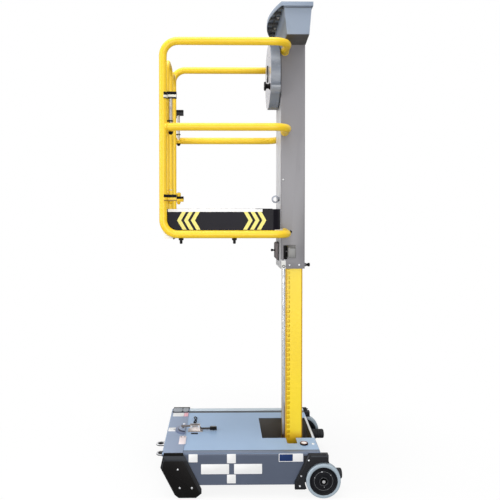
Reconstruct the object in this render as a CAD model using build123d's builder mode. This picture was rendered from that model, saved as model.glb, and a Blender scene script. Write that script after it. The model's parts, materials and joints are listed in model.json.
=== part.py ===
"""Push-around one-person work platform with a hand-cranked telescopic mast.

Millimetres, +Z up, +X towards the road wheels, near side at -Y.
The origin is on the floor under the middle of the machine, with the platform raised.
"""
import os
from math import acos, cos, pi, radians, sin, tan

from build123d import *

os.makedirs("parts", exist_ok=True)

# Clearances and fits
running_fit = 0.05
slide_gap = 0.3
hang_gap = 0.3

# Base: sheet steel chassis with a lift-off deck
base_front = -492
base_length = 924
frame_setback = 55
base_width = 700
base_underside = 72
deck_top = 255
sheet = 3
pan_thickness = 4
deck_skirt = 14
deck_edge_radius = 8
well_length = 102
well_depth = 38
web_spacing = 460
opening_margin = 8
opening_far_margin = 40
opening_reach = 112
opening_rear_strip = 17
opening_corner = 6
notch_margin = 8
notch_reach = 32
notch_corner = 10
step_length = 122
step_thickness = 4
step_inset = 6
ballast_length = 420
ballast_thickness = 40
ballast_front_gap = 40
ballast_web_gap = 8

# Feet, wheels and rear buffers
side_proud = 15
foot_top_length = 128
foot_slant = 102
foot_sole_length = 100
foot_toe = 32
foot_toe_height = 51
foot_top_drop = 3
foot_heel_run = 23
foot_heel_lift = 18
foot_front_reach = 8
foot_corner = 8
foot_heel_height = 177
foot_inner_depth = 55
foot_rim = 7
foot_rim_step = 3
foot_screw_drop = 7
wheel_diameter = 200
wheel_width = 40
wheel_proud = 10
carrier_boss = 36
axle_behind_base = 10
tyre_thickness = 20
hub_dish = 6
axle_head_radius = 14
axle_head_length = 8
arch_gap = 7
bracket_leg_width = 58
bracket_leg_slant = 62
bracket_bottom = 50
bracket_rear_reach = 43
bracket_heel = 39
bracket_shoulder = 36
bracket_shoulder_run = 18
bracket_crown_reach = 16
bracket_tail = 17
carrier_thickness = 8
buffer_diameter = 60
buffer_length = 133
buffer_height = 102
buffer_spacing = 560
buffer_edge = 7.5

# Drawbar hitch at the front, drawbar socket and hold-down clamp on the deck
hitch_reach = 73
hitch_width = 60
hitch_gap = 56
hitch_plate = 6
hitch_height = 130
hitch_pin_radius = 8
socket_radius = 64
socket_height = 14
socket_edge = 3
socket_flange = 6
socket_boss_radius = 40
clamp_y = -25
clamp_bed_length = 92
clamp_bed_width = 50
clamp_bed_thickness = 4
clamp_cheek_gap = 18
clamp_cheek = 3
clamp_cheek_height = 36
clamp_front_gap = 12
clamp_pivot_setback = 22
clamp_pin_radius = 4
clamp_bar = 8
clamp_bar_depth = 10
clamp_arm_length = 66
clamp_lever_length = 72
clamp_lever_bend = 16
clamp_lever_drop = 17
clamp_grip_length = 44
clamp_grip_radius = 9
clamp_pivot_height = 30
clamp_pivot_spacing = 44
clamp_spindle_radius = 6
clamp_spindle_inset = 12
clamp_pin_head = 3

# Bull's-eye level on the deck
level_radius = 24
level_height = 8
level_lens_radius = 17
level_setback = 82
level_y = -230
level_screw_gap = 31

# Fixed yellow column
column_depth = 105
column_width = 230
column_wall = 4
column_corner = 10
column_foot_thickness = 12
column_foot_margin = 36
column_bolt_radius = 9
column_bolt_head = 8
catch_slot_width = 20
catch_slot_height = 20
catch_slot_corner = 5
catch_slot_lift = 5
catch_slot_pitch = 30
catch_slot_setback = 16

# Outer mast on the column
mast_front = 217
mast_depth = 150
mast_width = 270
mast_wall = 4
mast_corner = 6
mast_length = 1389
mast_below_floor = 248
head_thickness = 6
column_from_mast_front = 35
mast_overlap = 247
lift_travel = 1120
pad_height = 70
pad_grip = 40
pad_screw_setback = 57
corner_notch_height = 50
corner_notch_width = 29

# Platform and guard rails
platform_level = 1549
guard_height = 1105
mid_rail_drop = 490
tube_diameter = 45
tube_wall = 2
tube_bend = 85
cage_width = 675
entry_post = -482
rail_end_setback = 25
floor_thickness = 5
floor_overhang = 3
bearer = 30
toe_height = 120
toe_thickness = 3
toe_bend = 55
toe_rear_gap = 16
toe_return = 90
toe_post_gap = 8
lip_depth = 58
lip_return = 60
floor_bolt_radius = 8
floor_bolt_drop = 32
floor_bolt_end = 3
floor_nut_radius = 14
floor_nut_height = 11
floor_bolt_setback = 103
floor_bolt_spacing = 307

# Entry gate
gate_tube = 25
gate_bend = 60
gate_top_drop = 84.5
gate_floor_gap = 60
gate_setback = 41
gate_leaf_offset = 24
gate_side_gap = 40.5
gate_meeting_gap = 24
gate_eye_reach = 52
gate_rod_radius = 9
gate_eye_radius = 15
gate_eye_length = 24
gate_bracket_height = 38
gate_bracket_reach = 34
gate_bracket_drop = 302.5
gate_bracket_rise = 185
gate_rod_length = 210
gate_pin_length = 48
gate_cap_radius = 14
gate_cap_height = 18

# Drive: hand wheel, chain, pinion and rack
crank_below_mast_top = 185
crank_diameter = 408
crank_depth = 62
crank_gap = 5
crank_rim = 8
crank_disc = 6
crank_hub_radius = 32
crank_hub_length = 34
crank_edge_radius = 3
carrier_angle = 211
carrier_length = 66
carrier_proud = 5
knob_pitch_radius = 172
knob_radius = 28
knob_waist_radius = 14
knob_back_radius = 22
knob_front_band = 9
knob_length = 36
knob_pin_radius = 6
shaft_radius = 10
bearing_radius = 46
bearing_length = 22
chain_width = 8
chain_thickness = 6
chain_gap = 3
sprocket_radius = 20
pinion_height = 99
tooth_module = 3
pinion_teeth = 18
pressure_angle = 20
tooth_backlash = 0.2
tooth_tip_gap = 0.75
mesh_gap = 0.1
rack_width = 12
rack_backing = 14
rack_margin = 45
pinion_shaft_radius = 8
brake_depth = 22
brake_width = 92
brake_height = 112
brake_wall = 4
brake_bevel = 14
drum_radius = 30
drum_gap = 4
plunger_radius = 5
plunger_knob_radius = 8
plunger_knob_length = 24

# Safety catch on the near side of the mast
catch_width = 46
catch_height = 76
catch_depth = 55
catch_wall = 3
catch_bottom = 71
catch_window_width = 21
pawl_thickness = 12
pawl_pivot_radius = 5
pawl_bar = 10
pawl_tip = 8
pawl_drop = 44
pawl_standoff = 6
pawl_gap = 2

# Tool tray on top of the mast
tray_width = 640
tray_rim = 24
tray_skin = 4
tray_front = 146
tray_end_front = 200
tray_rear = 384
tub_depth = 152
tub_front = 216
tub_taper = 20
tub_side_margin = 20
tub_rear_taper = 12
tray_rear_margin = 4
chin_drop = 18

# Gas spring inside the column, anchor eye and knobs on the mast
gas_cylinder_radius = 20
gas_rod_radius = 8
gas_rod_engaged = 40
gas_setback = 62
gas_y = 45
gas_wall = 3
eye_radius = 24
eye_hole_radius = 14
eye_thickness = 12
eye_collar = 3
eye_y = -60
eye_above_floor = 180
lock_knob_radius = 12
lock_knob_length = 38
lock_bush = 10
lock_y = -90
lock_height = 20
screw_radius = 6
screw_head = 4
screw_taper = 25

# Places worked out from the sizes above
base_rear = base_front + base_length
level_x = base_rear - level_setback
frame_front = base_front + frame_setback
base_half = base_width / 2
deck_under = deck_top - sheet
frame_top = deck_top - deck_skirt
pan_top = base_underside + pan_thickness
web_half = web_spacing / 2
axle_x = base_rear + axle_behind_base
axle_z = wheel_diameter / 2
side_outer = base_half + side_proud
mast_rear = mast_front + mast_depth
mast_half = mast_width / 2
mast_bottom = platform_level - mast_below_floor
mast_top = mast_bottom + mast_length
column_front = mast_front + column_from_mast_front
column_rear = column_front + column_depth
column_half = column_width / 2
column_bottom = pan_top + column_foot_thickness
column_top = mast_bottom + mast_overlap
column_mid = (column_front + column_rear) / 2
cage_half = cage_width / 2
tube_radius = tube_diameter / 2
top_rail = platform_level + guard_height - tube_radius
mid_rail = top_rail - mid_rail_drop
bottom_rail = platform_level - toe_thickness - tube_radius
rail_end = mast_front + rail_end_setback
crank_z = mast_top - crank_below_mast_top
crank_back = mast_front - crank_gap
crank_front = crank_back - crank_depth
pinion_z = mast_bottom + pinion_height
pitch_radius = tooth_module * pinion_teeth / 2
tooth_pitch = pi * tooth_module
rack_front = column_front - rack_width
chain_front = mast_front + mast_wall + chain_gap
catch_z = mast_bottom + catch_bottom
catch_slot_x = column_front + catch_slot_setback
pawl_tip_z = catch_z + catch_height / 2 - pawl_drop / 2
gate_x = entry_post + gate_setback
gate_y = cage_half - gate_side_gap
gate_top = top_rail - gate_top_drop
opening_half = mast_half + opening_margin
opening_far = mast_half + opening_far_margin
opening_front = mast_front - opening_reach
opening_back = base_rear - opening_rear_strip
catch_left = catch_slot_x - pawl_thickness / 2 - catch_wall - slide_gap
catch_right = catch_left + catch_width
catch_outer = mast_half + catch_depth
sides = ((-1, "near"), (1, "far"))


def write(block, name):
    """Name a finished piece and save it."""
    block.part.label = name
    export_step(block.part, f"parts/{name}.step")


def block_between(low, high, mode=Mode.ADD):
    """Box between two opposite corners, in the piece being built."""
    size = [b - a for a, b in zip(low, high)]
    with Locations([tuple((a + b) / 2 for a, b in zip(low, high))]):
        Box(*size, mode=mode)


def round_bar(radius, start, end, mode=Mode.ADD):
    """Cylinder between two points, in the piece being built."""
    axis = Vector(end) - Vector(start)
    with BuildSketch(Plane(origin=start, z_dir=axis)) as disc:
        Circle(radius)
    extrude(disc.sketch, amount=axis.length, mode=mode)


def bent_tube(points, bend, diameter, wall, close=False):
    """Round tube along straight runs joined by bends, in the piece being built."""
    with BuildLine() as run:
        FilletPolyline(*points, radius=bend, close=close)
    with BuildSketch(Plane(origin=run.line @ 0, z_dir=run.line % 0)) as ring:
        Circle(diameter / 2)
        Circle(diameter / 2 - wall, mode=Mode.SUBTRACT)
    sweep(ring.sketch, path=run.line)


def button_heads(spots, direction):
    """Domed screw heads standing on a surface, each at its own spot."""
    for spot in spots:
        with BuildSketch(Plane(origin=spot, z_dir=direction)) as head:
            Circle(screw_radius)
        extrude(head.sketch, amount=screw_head, taper=screw_taper)


# Base chassis: floor pan, walls and two webs beside the mast opening
with BuildPart() as base_frame:
    with BuildSketch(Plane.XY.offset(base_underside)) as frame_plan:
        with Locations(((frame_front + base_rear) / 2, 0)):
            Rectangle(base_rear - frame_front, base_width)
        with Locations(*[(base_rear - well_length / 2, s * (base_half - well_depth / 2)) for s, _ in sides]):
            Rectangle(well_length, well_depth, mode=Mode.SUBTRACT)
    extrude(amount=pan_thickness)
    with BuildSketch(Plane.XY.offset(pan_top)):
        add(frame_plan.sketch_local)
        offset(frame_plan.sketch_local, amount=-sheet, mode=Mode.SUBTRACT)
    extrude(amount=frame_top - pan_top)
    for s, _ in sides:
        block_between(
            (frame_front + sheet, s * web_half - sheet / 2, pan_top),
            (base_rear - sheet, s * web_half + sheet / 2, deck_under),
        )
write(base_frame, "base_frame")

# Deck: folded lid with the mast opening and the catch notch
with BuildPart() as base_deck:
    block_between((base_front, -base_half, frame_top), (base_rear, base_half, deck_top))
    fillet(base_deck.edges().group_by(Axis.Z)[-1], deck_edge_radius)
    block_between(
        (base_front + sheet, -base_half + sheet, frame_top),
        (base_rear - sheet, base_half - sheet, deck_under),
        mode=Mode.SUBTRACT,
    )
    with BuildSketch(Plane.XY.offset(deck_under)):
        with Locations(((opening_front + opening_back) / 2, (opening_far - opening_half) / 2)):
            RectangleRounded(opening_back - opening_front, opening_far + opening_half, opening_corner)
    extrude(amount=sheet, mode=Mode.SUBTRACT)
    notch_low = -catch_outer - notch_reach
    notch_high = -opening_half + 2 * notch_corner
    with BuildSketch(Plane.XY.offset(deck_under)):
        with Locations(((catch_left + catch_right) / 2, (notch_low + notch_high) / 2)):
            RectangleRounded(catch_width + 2 * notch_margin, notch_high - notch_low, notch_corner)
    extrude(amount=sheet, mode=Mode.SUBTRACT)
write(base_deck, "base_deck")

# Front tread plate on the deck
step_top = deck_top + step_thickness
with BuildPart() as step_plate:
    block_between(
        (base_front + step_inset, -base_half + step_inset, deck_top),
        (base_front + step_length, base_half - step_inset, step_top),
    )
    fillet(step_plate.edges().filter_by(Axis.Z), step_inset)
write(step_plate, "step_plate")

# Ballast slab on the floor pan, between the webs
ballast_half = web_half - sheet / 2 - ballast_web_gap
ballast_front = frame_front + sheet + ballast_front_gap
with BuildPart() as ballast_slab:
    block_between(
        (ballast_front, -ballast_half, pan_top),
        (ballast_front + ballast_length, ballast_half, pan_top + ballast_thickness),
    )
    chamfer(ballast_slab.edges().filter_by(Axis.Z), ballast_web_gap)
write(ballast_slab, "ballast_slab")

# Skid feet at the front corners: rimmed outer plate and a block under the chassis
foot_top = deck_top - foot_top_drop
foot_back = base_front + foot_top_length
foot_toe_x = foot_back + foot_slant
sole_rear = foot_toe_x - foot_toe
sole_front = sole_rear - foot_sole_length
foot_outline = (
    (base_front, foot_top),
    (foot_back, foot_top),
    (foot_toe_x, foot_toe_height),
    (foot_toe_x, foot_toe_height / 2),
    (sole_rear, 0),
    (sole_front, 0),
    (sole_front - foot_heel_run, foot_heel_lift),
    (base_front - foot_front_reach, foot_heel_height),
)
for s, side in sides:
    outer_plane = Plane(origin=(0, s * side_outer, 0), x_dir=(1, 0, 0), z_dir=(0, -1, 0))
    with BuildPart() as foot:
        with BuildSketch(outer_plane) as foot_sketch:
            with BuildLine():
                Polyline(*foot_outline, close=True)
            make_face()
            fillet(foot_sketch.vertices(), foot_corner)
        extrude(amount=s * side_proud)
        with BuildSketch(outer_plane):
            offset(foot_sketch.sketch_local, amount=-foot_rim)
        extrude(amount=s * foot_rim_step, mode=Mode.SUBTRACT)
        block_between(
            (sole_front, min(s * base_half, s * (base_half - foot_inner_depth)), 0),
            (sole_rear, max(s * base_half, s * (base_half - foot_inner_depth)), base_underside),
        )
    write(foot, f"front_foot_{side}")

# Wheel brackets: outer arch, inner carrier plate and the web that joins them
wheel_outer = side_outer + wheel_proud
wheel_inner = wheel_outer - wheel_width
carrier_inner = base_half - well_depth
arch_radius = axle_z + arch_gap
leg_rear = axle_x - arch_radius
leg_front = leg_rear - bracket_leg_width
shoulder_x = leg_front + bracket_leg_slant
bracket_rear = base_rear + bracket_rear_reach
well_front = base_rear - well_length
arch_outline = (
    (leg_front, bracket_bottom + bracket_heel),
    (shoulder_x, deck_top - bracket_shoulder),
    (shoulder_x + bracket_shoulder_run, deck_top),
    (axle_x + bracket_crown_reach, deck_top),
    (bracket_rear, axle_z + arch_radius),
    (bracket_rear, axle_z + arch_radius - bracket_tail),
    (axle_x, axle_z),
    (leg_rear, bracket_bottom),
    (leg_front, bracket_bottom),
)
for s, side in sides:
    with BuildPart() as bracket:
        with BuildSketch(Plane(origin=(0, s * side_outer, 0), x_dir=(1, 0, 0), z_dir=(0, -1, 0))):
            with BuildLine():
                Polyline(*arch_outline, close=True)
            make_face()
            with Locations((axle_x, axle_z)):
                Circle(arch_radius, mode=Mode.SUBTRACT)
        extrude(amount=s * side_proud)
        web_low, web_high = sorted((s * carrier_inner, s * base_half))
        block_between(
            (well_front, web_low, axle_z + arch_radius),
            (bracket_rear, web_high, frame_top),
        )
        plate_low, plate_high = sorted((s * carrier_inner, s * (carrier_inner + carrier_thickness)))
        block_between(
            (well_front, plate_low, bracket_bottom + bracket_heel / 2),
            (axle_x - carrier_boss, plate_high, axle_z + arch_radius),
        )
        block_between(
            (axle_x - carrier_boss, plate_low, axle_z - carrier_boss),
            (axle_x + carrier_boss, plate_high, axle_z + carrier_boss),
        )
        round_bar(
            shaft_radius + running_fit,
            (axle_x, s * carrier_inner, axle_z),
            (axle_x, s * (carrier_inner + carrier_thickness), axle_z),
            mode=Mode.SUBTRACT,
        )
    write(bracket, f"wheel_bracket_{side}")

# Stub axles with their outer nuts
hub_inner = carrier_inner + carrier_thickness + slide_gap
hub_outer = wheel_outer - hub_dish
with BuildPart() as wheel_axles:
    for s, _ in sides:
        nut_start = hub_outer + slide_gap
        round_bar(shaft_radius, (axle_x, s * carrier_inner, axle_z), (axle_x, s * nut_start, axle_z))
        with BuildSketch(Plane(origin=(axle_x, s * nut_start, axle_z), z_dir=(0, s, 0))):
            RegularPolygon(axle_head_radius, 6)
        extrude(amount=axle_head_length)
write(wheel_axles, "wheel_axles")

# Road wheels: soft tyre on a dished hub
rim_radius = axle_z - tyre_thickness
for s, side in sides:
    with BuildPart() as hub:
        with BuildSketch(Plane(origin=(axle_x, 0, axle_z), x_dir=(1, 0, 0), z_dir=(0, 0, 1))):
            with BuildLine():
                Polyline(
                    (shaft_radius + running_fit, s * hub_inner),
                    (2 * shaft_radius, s * hub_inner),
                    (2 * shaft_radius, s * (wheel_inner + hub_dish)),
                    (rim_radius, s * (wheel_inner + hub_dish)),
                    (rim_radius, s * (wheel_outer - hub_dish / 2)),
                    (rim_radius - hub_dish, s * (wheel_outer - hub_dish / 2)),
                    (rim_radius - 2 * hub_dish, s * (hub_outer - hub_dish)),
                    (3 * shaft_radius, s * (hub_outer - hub_dish)),
                    (2 * shaft_radius, s * hub_outer),
                    (shaft_radius + running_fit, s * hub_outer),
                    close=True,
                )
            make_face()
        revolve(axis=Axis((axle_x, 0, axle_z), (0, 1, 0)))
    write(hub, f"wheel_hub_{side}")
    with BuildPart() as tyre:
        with BuildSketch(Plane(origin=(axle_x, 0, axle_z), x_dir=(1, 0, 0), z_dir=(0, 0, 1))):
            with Locations(((rim_radius + running_fit + axle_z) / 2, s * (wheel_inner + wheel_outer) / 2)):
                Rectangle(axle_z - rim_radius - running_fit, wheel_width)
        revolve(axis=Axis((axle_x, 0, axle_z), (0, 1, 0)))
        tyre_rims = tyre.edges().filter_by(GeomType.CIRCLE).sort_by(SortBy.RADIUS)[-2:]
        fillet(tyre_rims, tyre_thickness / 3)
    write(tyre, f"wheel_tyre_{side}")

# Rear buffers on the back of the chassis
with BuildPart() as rear_buffers:
    for s, _ in sides:
        round_bar(
            buffer_diameter / 2,
            (base_rear, s * buffer_spacing / 2, buffer_height),
            (base_rear + buffer_length, s * buffer_spacing / 2, buffer_height),
        )
    fillet(rear_buffers.edges().group_by(Axis.X)[-1], buffer_edge)
write(rear_buffers, "rear_buffers")

# Drawbar hitch: two lugs on a back plate, bored for a vertical pin
hitch_front = base_front - hitch_reach
hitch_pin_x = hitch_front + hitch_width / 2
with BuildPart() as hitch_bracket:
    for lug_low in (hitch_height - hitch_gap / 2 - hitch_plate, hitch_height + hitch_gap / 2):
        with BuildSketch(Plane.XY.offset(lug_low)):
            with Locations((hitch_pin_x, 0)):
                Circle(hitch_width / 2)
            with Locations(((hitch_pin_x + frame_front) / 2, 0)):
                Rectangle(frame_front - hitch_pin_x, hitch_width)
            with Locations((hitch_pin_x, 0)):
                Circle(hitch_pin_radius, mode=Mode.SUBTRACT)
        extrude(amount=hitch_plate)
    block_between(
        (frame_front - hitch_plate, -hitch_width / 2, hitch_height - hitch_gap / 2),
        (frame_front, hitch_width / 2, hitch_height + hitch_gap / 2),
    )
write(hitch_bracket, "hitch_bracket")

# Half-round drawbar socket on the tread plate: a flange with a raised boss
socket_flat = base_front + step_length - socket_flange
socket_top = step_top + socket_height
with BuildPart() as drawbar_socket:
    for radius, height in ((socket_radius, socket_flange), (socket_boss_radius, socket_height)):
        with BuildSketch(Plane.XY.offset(step_top)):
            with BuildLine():
                CenterArc((socket_flat, clamp_y), radius, 90, 180)
                Line((socket_flat, clamp_y - radius), (socket_flat, clamp_y + radius))
            make_face()
        extrude(amount=height)
    top_arcs = drawbar_socket.edges().group_by(Axis.Z)[-1].filter_by(GeomType.CIRCLE)
    fillet(top_arcs, socket_edge)
write(drawbar_socket, "drawbar_socket")

# Hold-down clamp: bed with two cheeks, arm, lever and grip
clamp_front = base_front + step_length + clamp_front_gap
arm_pivot_x = clamp_front + clamp_pivot_setback
lever_pivot_x = arm_pivot_x + clamp_pivot_spacing
clamp_pivot_z = deck_top + clamp_pivot_height
cheek_offset = clamp_cheek_gap / 2
with BuildPart() as clamp_bed:
    block_between(
        (clamp_front, clamp_y - clamp_bed_width / 2, deck_top),
        (clamp_front + clamp_bed_length, clamp_y + clamp_bed_width / 2, deck_top + clamp_bed_thickness),
    )
    for s, _ in sides:
        low, high = sorted((clamp_y + s * cheek_offset, clamp_y + s * (cheek_offset + clamp_cheek)))
        block_between(
            (arm_pivot_x - clamp_bar_depth, low, deck_top + clamp_bed_thickness),
            (lever_pivot_x + clamp_bar_depth, high, deck_top + clamp_bed_thickness + clamp_cheek_height),
        )
    for pivot_x in (arm_pivot_x, lever_pivot_x):
        round_bar(
            clamp_pin_radius + running_fit,
            (pivot_x, clamp_y - clamp_bed_width, clamp_pivot_z),
            (pivot_x, clamp_y + clamp_bed_width, clamp_pivot_z),
            mode=Mode.SUBTRACT,
        )
write(clamp_bed, "clamp_bed")

with BuildPart() as clamp_pins:
    for pivot_x in (arm_pivot_x, lever_pivot_x):
        pin_end = cheek_offset + clamp_cheek
        round_bar(
            clamp_pin_radius,
            (pivot_x, clamp_y - pin_end, clamp_pivot_z),
            (pivot_x, clamp_y + pin_end, clamp_pivot_z),
        )
        for s, _ in sides:
            round_bar(
                clamp_pin_radius + clamp_pin_head / 2,
                (pivot_x, clamp_y + s * pin_end, clamp_pivot_z),
                (pivot_x, clamp_y + s * (pin_end + clamp_pin_head), clamp_pivot_z),
            )
write(clamp_pins, "clamp_pins")

spindle_x = arm_pivot_x - clamp_arm_length + clamp_spindle_inset
with BuildPart() as clamp_arm:
    block_between(
        (arm_pivot_x - clamp_arm_length, clamp_y - clamp_bar / 2, clamp_pivot_z - clamp_bar_depth / 2),
        (arm_pivot_x, clamp_y + clamp_bar / 2, clamp_pivot_z + clamp_bar_depth / 2),
    )
    round_bar(
        clamp_bar_depth / 2 + clamp_pin_radius / 2,
        (arm_pivot_x, clamp_y - clamp_bar / 2, clamp_pivot_z),
        (arm_pivot_x, clamp_y + clamp_bar / 2, clamp_pivot_z),
    )
    round_bar(
        clamp_pin_radius + running_fit,
        (arm_pivot_x, clamp_y - clamp_bar, clamp_pivot_z),
        (arm_pivot_x, clamp_y + clamp_bar, clamp_pivot_z),
        mode=Mode.SUBTRACT,
    )
    round_bar(
        clamp_spindle_radius,
        (spindle_x, clamp_y, socket_top + slide_gap),
        (spindle_x, clamp_y, clamp_pivot_z),
    )
write(clamp_arm, "clamp_arm")

lever_end = lever_pivot_x + clamp_lever_length
grip_z = clamp_pivot_z - clamp_lever_drop
with BuildPart() as clamp_lever:
    with BuildSketch(Plane(origin=(0, clamp_y, 0), x_dir=(1, 0, 0), z_dir=(0, -1, 0))):
        with BuildLine():
            FilletPolyline(
                (lever_pivot_x, clamp_pivot_z),
                (lever_pivot_x + clamp_lever_bend, grip_z),
                (lever_end, grip_z),
                radius=clamp_bar_depth,
            )
        trace(line_width=clamp_bar_depth)
    extrude(amount=clamp_bar / 2, both=True)
    round_bar(
        clamp_bar_depth / 2 + clamp_pin_radius / 2,
        (lever_pivot_x, clamp_y - clamp_bar / 2, clamp_pivot_z),
        (lever_pivot_x, clamp_y + clamp_bar / 2, clamp_pivot_z),
    )
    round_bar(
        clamp_pin_radius + running_fit,
        (lever_pivot_x, clamp_y - clamp_bar, clamp_pivot_z),
        (lever_pivot_x, clamp_y + clamp_bar, clamp_pivot_z),
        mode=Mode.SUBTRACT,
    )
write(clamp_lever, "clamp_lever")

with BuildPart() as clamp_grip:
    round_bar(
        clamp_grip_radius,
        (lever_end, clamp_y, grip_z),
        (lever_end + clamp_grip_length, clamp_y, grip_z),
    )
    fillet(clamp_grip.edges().group_by(Axis.X)[-1], clamp_grip_radius / 2)
write(clamp_grip, "clamp_grip")

# Bull's-eye level: ring body and domed lens
with BuildPart() as level_body:
    round_bar(level_radius, (level_x, level_y, deck_top), (level_x, level_y, deck_top + level_height))
    fillet(level_body.edges().group_by(Axis.Z)[-1], level_height / 4)
    round_bar(
        level_lens_radius + running_fit,
        (level_x, level_y, deck_top + level_height / 2),
        (level_x, level_y, deck_top + level_height),
        mode=Mode.SUBTRACT,
    )
write(level_body, "level_body")

with BuildPart() as level_lens:
    round_bar(
        level_lens_radius,
        (level_x, level_y, deck_top + level_height / 2),
        (level_x, level_y, deck_top + level_height),
    )
    fillet(level_lens.edges().group_by(Axis.Z)[-1], level_height / 4)
write(level_lens, "level_lens")

# Screws of the feet and brackets, and on the deck beside the level
recess = side_outer - foot_rim_step
foot_screw_spots = (
    (foot_back - foot_slant / 3, foot_heel_height - foot_screw_drop),
    (sole_front + foot_rim, foot_toe_height + 2 * screw_radius),
    (sole_rear - foot_heel_run, foot_toe_height + 2 * screw_radius),
)
bracket_screw_spots = (
    (leg_front + bracket_leg_width / 2, bracket_bottom + bracket_heel / 2),
    (leg_front + bracket_leg_width / 2 + foot_rim, bracket_bottom + 2 * bracket_heel),
    (shoulder_x + bracket_shoulder_run, deck_top - bracket_shoulder),
)
with BuildPart() as base_screws:
    for s, _ in sides:
        button_heads([(x, s * recess, z) for x, z in foot_screw_spots], (0, s, 0))
        button_heads([(x, s * side_outer, z) for x, z in bracket_screw_spots], (0, s, 0))
    button_heads([(level_x + level_radius + level_screw_gap, level_y, deck_top)], (0, 0, 1))
write(base_screws, "base_screws")

# Yellow column with its welded foot and the ladder of catch slots
slots_above = 2
slots_below = int(lift_travel / catch_slot_pitch) + 1
slot_plane = Plane(
    origin=(catch_slot_x, -column_half, pawl_tip_z + catch_slot_lift), x_dir=(1, 0, 0), z_dir=(0, -1, 0)
)
with BuildPart() as mast_column:
    with BuildSketch(Plane.XY.offset(pan_top)):
        with Locations((column_mid, 0)):
            Rectangle(column_depth + 2 * column_foot_margin, column_width + 2 * column_foot_margin)
    extrude(amount=column_foot_thickness)
    with BuildSketch(Plane.XY.offset(column_bottom)):
        with Locations((column_mid, 0)):
            RectangleRounded(column_depth, column_width, column_corner)
            Rectangle(column_depth - 2 * column_wall, column_width - 2 * column_wall, mode=Mode.SUBTRACT)
    extrude(amount=column_top - column_bottom)
    with BuildSketch(slot_plane):
        with Locations(*[(0, -catch_slot_pitch * step) for step in range(-slots_above, slots_below + 1)]):
            RectangleRounded(catch_slot_width, catch_slot_height, catch_slot_corner)
    extrude(amount=-2 * column_wall, mode=Mode.SUBTRACT)
write(mast_column, "mast_column")

# Bolts that hold the column foot to the pan
bolt_x = column_depth / 2 + column_foot_margin / 2
bolt_y = column_half + column_foot_margin / 2
with BuildPart() as column_bolts:
    with BuildSketch(Plane.XY.offset(column_bottom)):
        with Locations((column_mid, 0)):
            with GridLocations(2 * bolt_x, 2 * bolt_y, 2, 2):
                RegularPolygon(column_bolt_radius, 6)
    extrude(amount=column_bolt_head)
write(column_bolts, "column_bolts")

# Gear rack on the front of the column, teeth facing +Y
flank = tan(radians(pressure_angle))
rack_pitch_y = -pitch_radius - mesh_gap
rack_tip_y = rack_pitch_y + tooth_module
rack_root_y = rack_pitch_y - tooth_module - tooth_tip_gap
rack_low = pinion_z - lift_travel - rack_margin
rack_high = pinion_z + rack_margin
space_half = tooth_pitch / 4 + tooth_backlash / 2
mouth_half = space_half + tooth_module * flank
root_half = space_half - (tooth_module + tooth_tip_gap) * flank
spaces_below = int((pinion_z - rack_low) / tooth_pitch)
spaces_above = int((rack_high - pinion_z) / tooth_pitch)
with BuildPart() as gear_rack:
    with BuildSketch(Plane.YZ.offset(rack_front)):
        with Locations(((rack_root_y - rack_backing + rack_tip_y) / 2, (rack_low + rack_high) / 2)):
            Rectangle(rack_tip_y - rack_root_y + rack_backing, rack_high - rack_low)
        rack_steps = range(-spaces_below, spaces_above + 1)
        with Locations(*[(0, pinion_z + tooth_pitch * step) for step in rack_steps]):
            Polygon(
                (rack_tip_y, -mouth_half),
                (rack_tip_y, mouth_half),
                (rack_root_y, root_half),
                (rack_root_y, -root_half),
                align=None,
                mode=Mode.SUBTRACT,
            )
    extrude(amount=rack_width)
write(gear_rack, "gear_rack")

# Slide pads on the column top, running inside the mast
mast_inner_front = mast_front + mast_wall
mast_inner_rear = mast_rear - mast_wall
mast_inner_half = mast_half - mast_wall
pad_low = column_top - pad_height
with BuildPart() as upper_pads:
    for s, _ in sides:
        low, high = sorted((s * column_half, s * (mast_inner_half - slide_gap)))
        block_between((column_mid - pad_grip, low, pad_low), (column_mid + pad_grip, high, column_top))
        low, high = sorted((s * (column_half - column_corner), s * (column_half - column_corner - pad_grip)))
        block_between((mast_inner_front + slide_gap, low, pad_low), (column_front, high, column_top))
        block_between((column_rear, low, pad_low), (mast_inner_rear - slide_gap, high, column_top))
write(upper_pads, "upper_pads")

# Gas spring that balances the platform: cylinder on the column foot, rod to the mast head
gas_x = column_front + gas_setback
gas_top = column_bottom + lift_travel + 2 * gas_rod_engaged
with BuildPart() as gas_cylinder:
    round_bar(gas_cylinder_radius, (gas_x, gas_y, column_bottom), (gas_x, gas_y, gas_top))
    round_bar(
        gas_cylinder_radius - gas_wall,
        (gas_x, gas_y, column_bottom + gas_wall),
        (gas_x, gas_y, gas_top - gas_cylinder_radius),
        mode=Mode.SUBTRACT,
    )
    round_bar(
        gas_rod_radius + running_fit,
        (gas_x, gas_y, gas_top - gas_cylinder_radius),
        (gas_x, gas_y, gas_top),
        mode=Mode.SUBTRACT,
    )
write(gas_cylinder, "gas_cylinder")

with BuildPart() as gas_rod:
    round_bar(
        gas_rod_radius,
        (gas_x, gas_y, gas_top - gas_rod_engaged),
        (gas_x, gas_y, mast_top - head_thickness),
    )
write(gas_rod, "gas_rod")

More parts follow.
